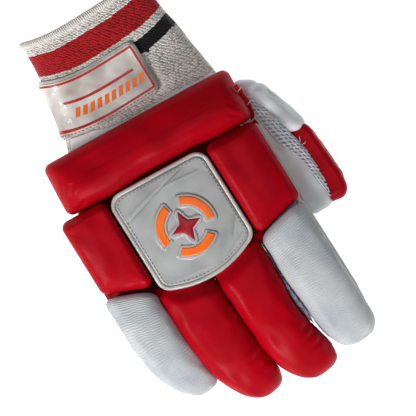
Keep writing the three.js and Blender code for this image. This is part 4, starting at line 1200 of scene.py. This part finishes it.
for strip in COTTON_STRIPS:
    y = np.linspace(KNUCKLE_Y - strip["end"], KNUCKLE_Y - strip["start"], 70)
    west_x, west_z = flank_line(strip["west"], True, y)
    east_x, east_z = flank_line(strip["east"], False, y)
    radius = (np.clip((east_x - west_x) / 2 - 0.1, 0.3, strip["radius"])
              * (0.9 + 0.1 * ripple(y, 0, 5, 96)) * (0.2 + 0.8 * smooth((y - y[0]) / 6)))
    path = join((east_x + west_x) / 2, y, np.minimum(east_z, west_z) - 1)
    dress(tube(f"{strip['east']['name']}_cotton_strip", path, radius, 14, squash=1.8), STALL,
          "cotton")

CREAM_TAPE = leather("cream tape", "#e6e2d6", "#cfc9ba", 0.7, 0.3)
tape_y = np.linspace(TAPE_HEIGHT, KNUCKLE_Y + 6, 36)
beside_block = join(HAND_HALF_WIDTH + 0.7, tape_y, TAPE_HEIGHT + 0.3 * ripple(tape_y, 0, 9, 91))
tape_along = np.linspace(5, index["length"] - 9, 56)
line, _, side, up = finger_frame(index, tape_along)
out = index["half"] + 0.8 + 0.15 * ripple(tape_along, 0, 8, 92)[:, None]
tape_line = np.vstack([beside_block, line + side * out + up * (ROLL_LOW + 6)])
for _ in range(6):
    tape_line[1:-1] = (tape_line[:-2] + tape_line[1:-1] + tape_line[2:]) / 3
tape_line[:, 0] -= TAPE_CORNER_DRAW * np.exp(-((tape_line[:, 1] - KNUCKLE_Y) / 4) ** 2)
tape_end = smooth(np.arange(len(tape_line), 0, -1) / 14)
dress(tube("index_edge_tape", tape_line, TAPE_RADIUS * (0.25 + 0.75 * tape_end), squash=1.4),
      CREAM_TAPE, "white_leather")

round_at = round_angles(middle["skin"].shape[1])
flank = middle["skin"][:, np.argmin(np.abs(np.degrees(round_at) - FLANK_ANGLE))]
run = running_length(flank)
flank = flank[(run > SEWN_FROM) & (run < SEWN_TO)] + [0.15, 0, 0.1]
dress(stitches("middle_roll_stitches", flank, 1.5, 1.1, 0.24), RED_THREAD, "red_leather")


def through(row, count):
    """Points along the straight stretches between a row's places."""
    share, places = np.linspace(0, 1, count), np.linspace(0, 1, len(row["x"]))
    return join(*[np.interp(share, places, row[key]) for key in "xyz"])


share = np.linspace(0, 30, 30)
scrap = through(BAR_END_SEAM, 30) + 0.35 * join(*[ripple(share, 5 * k, 7, 93 + k)
                                                  for k in range(3)])
dress(tube("bar_end_tape", scrap, SCRAP_RADIUS, squash=0.5), RED, "red_leather")
thread_end = np.array([[-1.6, -0.6, 0.6], [-0.5, 0, 1.0], [0.8, 0.4, 1.0], [1.7, 0.9, 0.3]])
for k, at in enumerate([4, 9, 13, 18, 23]):
    dress(tube(f"tape_stitch_{k + 1}", scrap[at] + thread_end, THREAD_RADIUS, 6),
          RED_THREAD if k % 2 else WHITE_THREAD, "red_leather" if k % 2 else "white_leather")

# Cuff
#
# A wide elastic tube, knitted coarse in grey-white yarn, with a red and a navy stripe near its
# rim. Each stitch is a pair of leaning loops. The rim is folded over and rolls out a little.

CUFF_X = 11
CUFF_HALF_WIDTH = 41
CUFF_HEIGHT = 29
CUFF_LENGTH = 72
CUFF_FOOT_Y = WRIST_Y + 0.45
RIM_Y = CUFF_FOOT_Y + CUFF_LENGTH
KNIT_WALL = 2.6
STRAP_ROOM = 2.4
LOOP_WIDTH = 2.0
ROW_HEIGHT = 1.3
RIB_WIDTH = 1.3
RIM_FOLD = 3.4
KNIT_INSIDE = 150  # sets the uv of the inner face apart from the stripes
CUFF_SHAPE = dict(
    along=[0, 0.12, 0.3, 0.65, 0.93, 1],
    left=[-1.29, -1.14, -1.02, -0.96, -0.94, -0.95],
    right=[1.2, 1.16, 1.11, 1.02, 0.98, 0.97],
    top=[0.96, 0.92, 0.92, 0.95, 0.98, 1],
    bow_left=[0, 4, 8, 8, 5.6, 5],
    bow_right=[0, 2.4, 5.2, 5.2, 4.8, 4.8],
    floor=[0, STRAP_ROOM, STRAP_ROOM, STRAP_ROOM, STRAP_ROOM, STRAP_ROOM],
)
YARN = "#f1ece4"
MOST_ROWS = 50.0  # the rows of loops that the stripes' ramp covers
# Stripes: how far below the rim each one begins and ends
STRIPES = [dict(low=9.3, high=23.3, colour="#c20a1a"),
           dict(low=28.2, high=37.0, colour="#080a10")]
cuff = skin(CUFF_SHAPE, CUFF_FOOT_Y, RIM_Y, CUFF_X, CUFF_HALF_WIDTH, (0, CUFF_HEIGHT))


def knit_cuff():
    cols, rows = 260, 120
    places = np.linspace(CUFF_FOOT_Y, RIM_Y, rows)
    angles, perimeter = even_angles(cuff, (CUFF_FOOT_Y + RIM_Y) / 2, 0, 2 * math.pi, cols + 1)
    angles = angles[:-1][None, :]
    around = np.linspace(0, perimeter, cols + 1)
    below = (RIM_Y - places)[:, None]
    swell = (0.45 * ripple(around[:-1][None, :], below, 30, 52)
             + 0.9 * np.exp(-((below - 1.5) / 1.6) ** 2) - 0.4 * np.exp(-((below - 5.5) / 2) ** 2))
    outer = skin_points(cuff, places[:, None], angles, swell)
    turn_in = np.linspace(0, math.pi, 8)[1:-1, None]
    share = (1 - np.cos(turn_in)) / 2
    roll = skin_points(cuff, RIM_Y + 1.0 * np.sin(turn_in), angles,
                       swell[-1] * (1 - share) - KNIT_WALL * share)
    inner = skin_points(cuff, places[::-4][:, None], angles, -KNIT_WALL)
    along = np.concatenate([below, 0 * share, below[::-4] - KNIT_INSIDE])
    return grid_object("knitted_cuff", np.concatenate([outer, roll, inner]), join(around, along),
                       loop=True)


def knit_material():
    """Yarn in small leaning loops with shade painted darker between them, stripes that change from
    loop to loop, and fine ribs on the folded rim."""
    material, tree, shader = new_material("knitted yarn")
    around, below = uv_axes(tree)
    row = combine(tree, "DIVIDE", combine(tree, "MULTIPLY_ADD", noise(tree, 60), 1.5, below),
                  ROW_HEIGHT)
    wale = combine(tree, "MULTIPLY_ADD", row, 0.5, combine(tree, "DIVIDE", around, LOOP_WIDTH))
    at = node(tree, "CombineXYZ", {"X": wale, "Y": row}).outputs["Vector"]
    loop = node(tree, "TexVoronoi", {"Vector": at, "Scale": 1.0, "Randomness": 0.45},
                voronoi_dimensions="2D").outputs
    rib = combine(tree, "SINE", combine(tree, "MULTIPLY", around, 2 * math.pi / RIB_WIDTH))
    height = blend(tree, remap(tree, below, RIM_FOLD - 0.8, RIM_FOLD, 1, 0),
                   remap(tree, loop["Distance"], 0.1, 0.72, 1, 0),
                   combine(tree, "MULTIPLY_ADD", rib, 0.3, 0.6))
    own_row = node(tree, "SeparateXYZ", {"Vector": loop["Position"]}).outputs["Y"]
    stops = [(0, YARN)]
    for stripe in STRIPES:
        stops += [((stripe[edge] + 0.75) / ROW_HEIGHT / MOST_ROWS, tone)
                  for edge, tone in (("low", stripe["colour"]), ("high", YARN))]
    base = ramp(tree, combine(tree, "DIVIDE", own_row, MOST_ROWS), stops, "CONSTANT")
    # Painted shade in the pits between the loops and between the rim's ribs, and a random tone for
    # each loop.
    for shade in (ramp(tree, height, [(0, 0.3), (0.26, 0.68), (0.6, 1)]),
                  ramp(tree, loop["Color"], [(0.2, 0.84), (0.7, 1)])):
        base = mix(tree, 1.0, base, shade, "MULTIPLY")
    feed(shader, {"Base Color": base, "Normal": bump(tree, height, 0.8, 0.0007),
                  "Roughness": 0.8, "Sheen Weight": 0.2})
    return material


dress(knit_cuff(), knit_material(), "knit", "cuff")

# Wrist facing
#
# A strip of white leather that joins the wrist bar to the cuff and shows in two low humps.

# How far it shows past the bar
FACING_SHAPE = dict(x=[-45, -30, -12, 4, 20, 36, 50], reach=[4.6, 4.4, 1.6, 0.7, 1.5, 1.9, 0.8])
FACING_FOOT = CUFF_FOOT_Y + 0.5


def facing_body():
    angles = np.radians(np.linspace(28, 152, 90))[None, :]
    x = skin_points(cuff, FACING_FOOT, angles, 0.8)[0, :, 0]
    reach = column(FACING_SHAPE["x"], FACING_SHAPE["reach"], x)
    edge = np.minimum(bar_edge(x, 1) + reach, CUFF_FOOT_Y + 12)
    v = np.linspace(0, 1, 16)[:, None]
    places = FACING_FOOT + (edge - FACING_FOOT) * v
    lift = (1.6 + 0.3 * ripple(x, places, 10, 61)) * (1 - 0.4 * v ** 6)
    return slab_object("wrist_strip", skin_points(cuff, places, angles, lift),
                       skin_points(cuff, places, angles, 0.5), join(x, places))


dress(facing_body(), WHITE_PLAIN, "white_leather", "wrist_facing")

# Strap and its window
#
# A leather strap under glossy clear vinyl that runs round the little finger's side of the cuff,
# with a window of thin vinyl on it. The window is printed, and red thread sews down its edge.

STRAP_LOW_Y = CUFF_FOOT_Y + 12.6
STRAP_HIGH_Y = STRAP_LOW_Y + 32.8
STRAP_END_X = 27.6
STRAP_TAIL_X = 30
STRAP_CORNER_ROUND = 4.5
STRAP_LIFT, STRAP_UNDER = 2.1, 0.8
PANEL_MARGIN = 1.6
PANEL_LIFT, PANEL_UNDER = 3.0, 2.2
PANEL_TAIL = math.radians(192)
PRINT_RED, PRINT_ORANGE = "#b5101a", "#f57616"
RIM_LINE = 0.8, 2.2  # from the window's edges
RULE = dict(up=(15.4, 17.0), along=(7.0, 52.0))
BARS = dict(up=(7.0, 12.2), along=(8.7, 54.7), pitch=4.6, width=2.9, lean=0.55)


def cuff_angle(place, x, is_top):
    left, right = (column(cuff["y"], cuff[key], place) for key in ("left", "right"))
    across = np.clip((x - (left + right) / 2) / ((right - left) / 2), -1, 1)
    angle = np.arccos(power(across, SQUARENESS / 2))
    return angle if is_top else 2 * math.pi - angle


def strap_grid(margin, lift, tail, rows, cols):
    """Points of the strap's band, less a margin, at a lift over the cuff."""
    low_y, high_y = STRAP_LOW_Y + margin, STRAP_HIGH_Y - margin
    round_ = max(STRAP_CORNER_ROUND - margin, 0.6)
    v = (1 - np.cos(np.linspace(0, math.pi, rows))) / 2 * 0.6 + np.linspace(0, 1, rows) * 0.4
    places = low_y + (high_y - low_y) * v
    inset = end_round(np.minimum(places - low_y, high_y - places), round_, round_)
    first = cuff_angle(places, STRAP_END_X - margin - inset, True)
    angles = first[:, None] + (tail(places) - first)[:, None] * np.linspace(0, 1, cols)
    points = skin_points(cuff, places[:, None], angles, lift)
    around = np.array([running_length(row) for row in points])
    return points, join(around, (places - low_y)[:, None])


def window_print(tree, base):
    """A red line inside the rim, a red rule, and a row of slanting orange bars below it."""
    along, up = uv_axes(tree)
    height = STRAP_HIGH_Y - STRAP_LOW_Y - 2 * PANEL_MARGIN
    begin, end = RIM_LINE
    both = lambda a, b: combine(tree, "MULTIPLY", a, b)
    either = lambda a, b: combine(tree, "MAXIMUM", a, b)
    between = lambda value, low, high: both(combine(tree, "GREATER_THAN", value, low),
                                            combine(tree, "LESS_THAN", value, high))
    sides = either(between(up, begin, end), between(up, height - end, height - begin))
    line = both(both(combine(tree, "GREATER_THAN", along, begin),
                     between(up, begin, height - begin)),
                either(between(along, begin, end), sides))
    rule = both(between(up, *RULE["up"]), between(along, *RULE["along"]))
    slant = combine(tree, "MULTIPLY_ADD", up, BARS["lean"], along)
    step = combine(tree, "MODULO", slant, BARS["pitch"])
    bars = both(both(combine(tree, "LESS_THAN", step, BARS["width"]),
                     between(up, *BARS["up"])), between(slant, *BARS["along"]))
    return mix(tree, bars, mix(tree, either(line, rule), base, PRINT_RED), PRINT_ORANGE)


def clear_vinyl(name, tint, printed=False):
    """Clear vinyl over the knit: grey, clouded and glossy."""
    material, tree, shader = new_material(name)
    base = ramp(tree, noise(tree, 60), [(0.32, tint), (0.66, "#aaa299")])
    if printed:
        base = window_print(tree, base)
    feed(shader, {"Base Color": base, "Coat Normal": bump(tree, noise(tree, 110), 0.5, 0.0025),
                  "Roughness": 0.4, "Coat Weight": 0.6, "Coat Roughness": 0.1})
    return material


strap_tail = lambda places: cuff_angle(places, STRAP_TAIL_X, False)
outer, uv = strap_grid(0, STRAP_LIFT, strap_tail, 50, 150)
inner, _ = strap_grid(0, STRAP_UNDER, strap_tail, 50, 150)
dress(slab_object("clear_strap", outer, inner, uv), clear_vinyl("clear strap vinyl", "#d6d1ca"),
      "white_leather", "wrist_strap")
window_tail = lambda places: PANEL_TAIL + 0 * places
outer, uv = strap_grid(PANEL_MARGIN, PANEL_LIFT, window_tail, 50, 110)
inner, _ = strap_grid(PANEL_MARGIN, PANEL_UNDER, window_tail, 50, 110)
dress(slab_object("strap_window", outer, inner, uv),
      clear_vinyl("window vinyl", "#e9e4dd", printed=True), "clear_vinyl", "strap_panel")

hem, _ = strap_grid(1.0, STRAP_LIFT + 0.25, window_tail, 50, 110)
dress(stitches("strap_stitches", hem[2], 1.5, 0.9, 0.25, lean=0.9), RED_THREAD, "red_leather")

# Thumb net
#
# A strip of coarse white airing net along the inner edge of the thumb, from the wrist bar to
# the thumb's tip. Its openings lie in slanting rows, and a grey sheet under them paints the shade
# in the openings.

NET_COLUMNS = 4
NET_ROWS = 28
NET_WALL = 1.0
NET_OPENING = 0.345, 0.335  # half width and half height, as shares of a cell
# The strip's two edges: degrees round the thumb at shares of its length
NET_SHAPE = dict(along=[0.02, 0.07, 0.25, 0.42, 0.59, 0.76, 0.9],
                 near=[58, 64, 80, 88, 88, 86, 84],
                 far=[6, 10, 30, 44, 42, 50, 52])


def net_angles(places, share):
    """Places round the thumb at a share of the way across the strip."""
    length = THUMB_TIP_Y + np.array(NET_SHAPE["along"]) * (THUMB_TOP_Y - THUMB_TIP_Y)
    near, far = (column(length, NET_SHAPE[key], places) for key in ("near", "far"))
    return np.radians(far + (near - far) * share)


def net_body():
    """Cells with a rounded opening each, laid over the thumb's skin."""
    verts, faces = {}, []
    square = [(-1, -1), (0, -1), (1, -1), (1, 0), (1, 1), (0, 1), (-1, 1), (-1, 0)]

    def ring(col, row, offsets, face):
        """Numbers of the points round a cell. Cells share the points where they meet."""
        keys = [(round(col + 0.5 + a, 5), round(row + 0.5 + b, 5), face) for a, b in offsets]
        return [verts.setdefault(key, len(verts)) for key in keys]

    cell = [(a / 2, b / 2) for a, b in square]
    opening = [(NET_OPENING[0] * a / math.hypot(a, b), NET_OPENING[1] * b / math.hypot(a, b))
               for a, b in square]
    for row in range(NET_ROWS):
        for col in range(NET_COLUMNS):
            low_edge, high_edge = (ring(col, row, cell, face) for face in (0, 1))
            low_hole, high_hole = (ring(col, row, opening, face) for face in (0, 1))
            for k in range(8):
                n = (k + 1) % 8
                joins = [(high_edge, high_hole), (low_hole, low_edge), (high_hole, low_hole)]
                u = col + 0.5 + (cell[k][0] + cell[n][0]) / 2
                v = row + 0.5 + (cell[k][1] + cell[n][1]) / 2
                if u in (0, NET_COLUMNS) or v in (0, NET_ROWS):
                    joins.append((low_edge, high_edge))
                faces += [[a[k], a[n], b[n], b[k]] for a, b in joins]
    u, v, face = np.array(list(verts), float).T
    v = np.clip((v + 0.5 * (u - NET_COLUMNS / 2)) / NET_ROWS, 0, 1)
    u = u / NET_COLUMNS
    y0, y1 = THUMB_TIP_Y + 2.5, THUMB_TOP_Y - 8
    places = y0 + (y1 - y0) * v
    lift = 0.8 + face * NET_WALL + 0.25 * ripple(places, u * 10, 9, 71)
    made = mesh_object("thumb_net", skin_points(thumb, places, net_angles(places, u), lift), faces)
    soften = made.modifiers.new("soften", "SUBSURF")
    soften.levels = soften.render_levels = 1
    return made


def net_material():
    material, tree, shader = new_material("net yarn")
    fuzz = noise(tree, 1400, 3)
    feed(shader, {"Base Color": ramp(tree, fuzz, [(0.3, "#d3d8e2"), (0.6, "#f8fafc")]),
                  "Normal": bump(tree, fuzz, 0.6, 0.0003), "Roughness": 0.85})
    return material


# A grey sheet under the net, darker than the thumb's leather: painted shade in the net's openings.
def net_shade_sheet():
    places = np.linspace(THUMB_TIP_Y + 2, THUMB_TOP_Y - 7.5, 70)[:, None]
    share = np.linspace(0.03, 0.97, 14)
    angles = net_angles(places, share)
    lift = 0.2 + 0.4 * smooth(np.minimum(share, 1 - share) / 0.1)
    return slab_object("thumb_net_shade_sheet", skin_points(thumb, places, angles, lift),
                       skin_points(thumb, places, angles, -0.4), join(share * 12, places))


# Painted shade: a grey, darker than the thumb's leather, under the net's openings.
NET_SHADE_SHEET = leather("grey sheet painted as shade under the net", "#c0c6cb", "#aeb5bb", 0.8, 0.5)
dress(net_body(), net_material(), "netting", "thumb_mesh")
dress(net_shade_sheet(), NET_SHADE_SHEET, "netting")

# Thumb roll and wing
#
# A red padded roll on the outer side of the thumb, with slanting pulls in its leather, and a
# white padded wing above it that reaches to the wrist bar and folds once along its length.

THUMB_ROLL_LENGTH = 53
THUMB_ROLL_THICKNESS = 9.6
THUMB_ROLL_HALF_HEIGHT = 12.2
THUMB_ROLL_ROUND = 3.4
THUMB_ROLL_TAPER = 15
THUMB_ROLL_TIP = 0.42
THUMB_SIDE_X = THUMB_X + THUMB_HALF_WIDTH
WING_LENGTH = 42
WING_START = 3.5
WING_OFFSET = 2
WING_HALF_WIDTH = 11.5
WING_THICKNESS = 6.5
WING_ROUND = 3.4
WING_MIDDLE = 0.72
WING_LEAN = math.radians(58)
WING_SHAPE = [dict(along=0, across=0.95), dict(along=1.17, across=0.1),
              dict(along=1.03, across=-0.95),
              dict(along=0.75, across=-1), dict(along=0.08, across=-0.25)]
WING_FOLDS = [dict(x0=6, y0=-10, x1=13, y1=9, depth=1.4, width=1.5),
              dict(x0=10, y0=-10, x1=17, y1=9, depth=-0.4, width=2.5)]
THUMB_PULLS = [dict(x0=at, y0=-10, x1=at + 7, y1=9, depth=0.65, width=1.4)
               for at in (5, 11, 17, 24, 33)]

flat_base = lambda x, y: 0 * x


def roll_place(grid):
    along, up, out = np.moveaxis(grid, -1, 0)
    thinning = (end_round(np.maximum(along, 0), THUMB_ROLL_TAPER, 1 - THUMB_ROLL_TIP)
                + 0.25 * smooth((along - THUMB_ROLL_LENGTH + 12) / 14))
    x = (THUMB_SIDE_X + np.maximum(out, 0) * (1 - thinning) + np.minimum(out, 0) - 0.05 * along)
    return join(x, THUMB_TIP_Y + along, THUMB_HEIGHT / 2 + up)


roll_corners = [(a * THUMB_ROLL_LENGTH, b * THUMB_ROLL_HALF_HEIGHT, 2 * THUMB_ROLL_ROUND)
                for a, b in [(0, -1), (0.97, -1), (0.97, 1), (0, 1)]]
thumb_roll = pillow(
    "thumb_padded_roll", roll_corners, [(14, 0), (THUMB_ROLL_LENGTH - 14, 0)],
    THUMB_ROLL_THICKNESS, THUMB_ROLL_ROUND, flat_base,
    lambda x, y, edge: 0.2 * ripple(x, y, 14, 81) - creases(x, y, THUMB_PULLS)
    + pulled_edge(edge, x, 3.3, 0.15, 2.5), sink=THUMB_ROLL_ROUND, tuck=1.0, step=0.6,
    place=roll_place)
dress(thumb_roll, RED, "red_leather", "thumb_roll")


def wing_place(grid):
    along, across, out = np.moveaxis(grid, -1, 0)
    y = THUMB_TOP_Y + WING_START - along
    side = column(thumb["y"], thumb["right"], y) + WING_OFFSET - WING_ROUND / 2
    x = side + out * math.sin(WING_LEAN) - across * math.cos(WING_LEAN)
    z = out * math.cos(WING_LEAN) + across * math.sin(WING_LEAN) + 4 * smooth((along - 30) / 12)
    return join(x, y, WING_MIDDLE * THUMB_HEIGHT + z)


wing_corners = [(row["along"] * WING_LENGTH, row["across"] * WING_HALF_WIDTH, 2 * WING_ROUND)
                for row in WING_SHAPE][::-1]
wing = pillow("thumb_padded_wing", wing_corners, [(14, 1), (31, -4)], WING_THICKNESS, WING_ROUND,
              flat_base, lambda x, y, edge: 0.2 * ripple(x, y, 12, 82)
              - creases(x, y, WING_FOLDS), sink=WING_ROUND, tuck=0.5, step=0.6, place=wing_place)
dress(wing, WHITE_PLAIN, "white_leather", "thumb_wing")

LOOSE_ENDS = [dict(x=[78.6, 79.4, 79.6, 80.4], y=[3, 4.2, 5.4, 6.2], z=[27, 28.5, 29, 28.5]),
              dict(x=[79, 79.8, 80.8, 81.6], y=[1, 1.6, 1.2, 2.2], z=[27, 28, 28.3, 28])]
for k, row in enumerate(LOOSE_ENDS):
    dress(tube(f"loose_thread_{k + 1}", through(row, 16), 0.14, 6), WHITE_THREAD,
          "white_leather")

# Floor, light and camera
#
# A pale table that hardly shows the glove's shadow, soft light from above, from the little
# finger's side and from the fingertips, and a camera that looks straight down on the back of the
# glove, turned as in the photograph.

FRAME_SIZE = 237.0
FRAME_MIDDLE = np.array([14.3, -0.8, 0.0])
CAMERA_HEIGHT = 1700.0
SUBJECT_HEIGHT = 30.0
UP = Vector((0.530, 0.848, 0.0)).normalized()
RIGHT = Vector((UP.y, -UP.x, 0.0))
LIGHTS = [dict(name="overhead", toward=(0.15, 0.1, 1.0), distance=1.4, size=0.8, watts=2.2),
          dict(name="left", toward=(-0.99, -0.1, 0.85), distance=1.3, size=0.4, watts=8),
          dict(name="front", toward=(-0.4, -0.87, 0.65), distance=1.3, size=0.4, watts=7)]

floor_material, tree, shader = new_material("table")
feed(shader, {"Base Color": colour(0.5), "Roughness": 0.9, "Emission Color": colour(1.0),
              "Emission Strength": 0.72})
bpy.ops.mesh.primitive_plane_add(size=6, location=(0, 0, 0))
floor = bpy.context.object
floor.name = "table"
floor.data.materials.append(floor_material)

scene = bpy.context.scene
scene.world = bpy.data.worlds.new("studio")
scene.world.use_nodes = True
feed(scene.world.node_tree.nodes["Background"], {"Color": (0.96, 0.98, 1.0, 1.0),
                                                 "Strength": 0.14})
for row in LIGHTS:
    light = bpy.data.lights.new(row["name"], "AREA")
    light.shape, light.size, light.energy = "SQUARE", row["size"], row["watts"]
    lamp = bpy.data.objects.new(row["name"], light)
    lamp.location = Vector(row["toward"]).normalized() * row["distance"]
    lamp.rotation_euler = (-lamp.location).to_track_quat("-Z", "Y").to_euler()
    scene.collection.objects.link(lamp)

camera_data = bpy.data.cameras.new("camera")
camera = bpy.data.objects.new("camera", camera_data)
scene.collection.objects.link(camera)
look = (FRAME_MIDDLE + SHIFT) / 1000
camera.matrix_world = Matrix((
    (RIGHT.x, UP.x, 0, look[0]), (RIGHT.y, UP.y, 0, look[1]),
    (0, 0, 1, (CAMERA_HEIGHT + SUBJECT_HEIGHT) / 1000), (0, 0, 0, 1)))
camera_data.sensor_fit = "HORIZONTAL"
camera_data.angle = 2 * math.atan(FRAME_SIZE / 2 / CAMERA_HEIGHT)
camera_data.clip_end = 10
scene.camera = camera
scene.view_settings.view_transform = "Standard"
scene.view_settings.look = "Medium High Contrast"

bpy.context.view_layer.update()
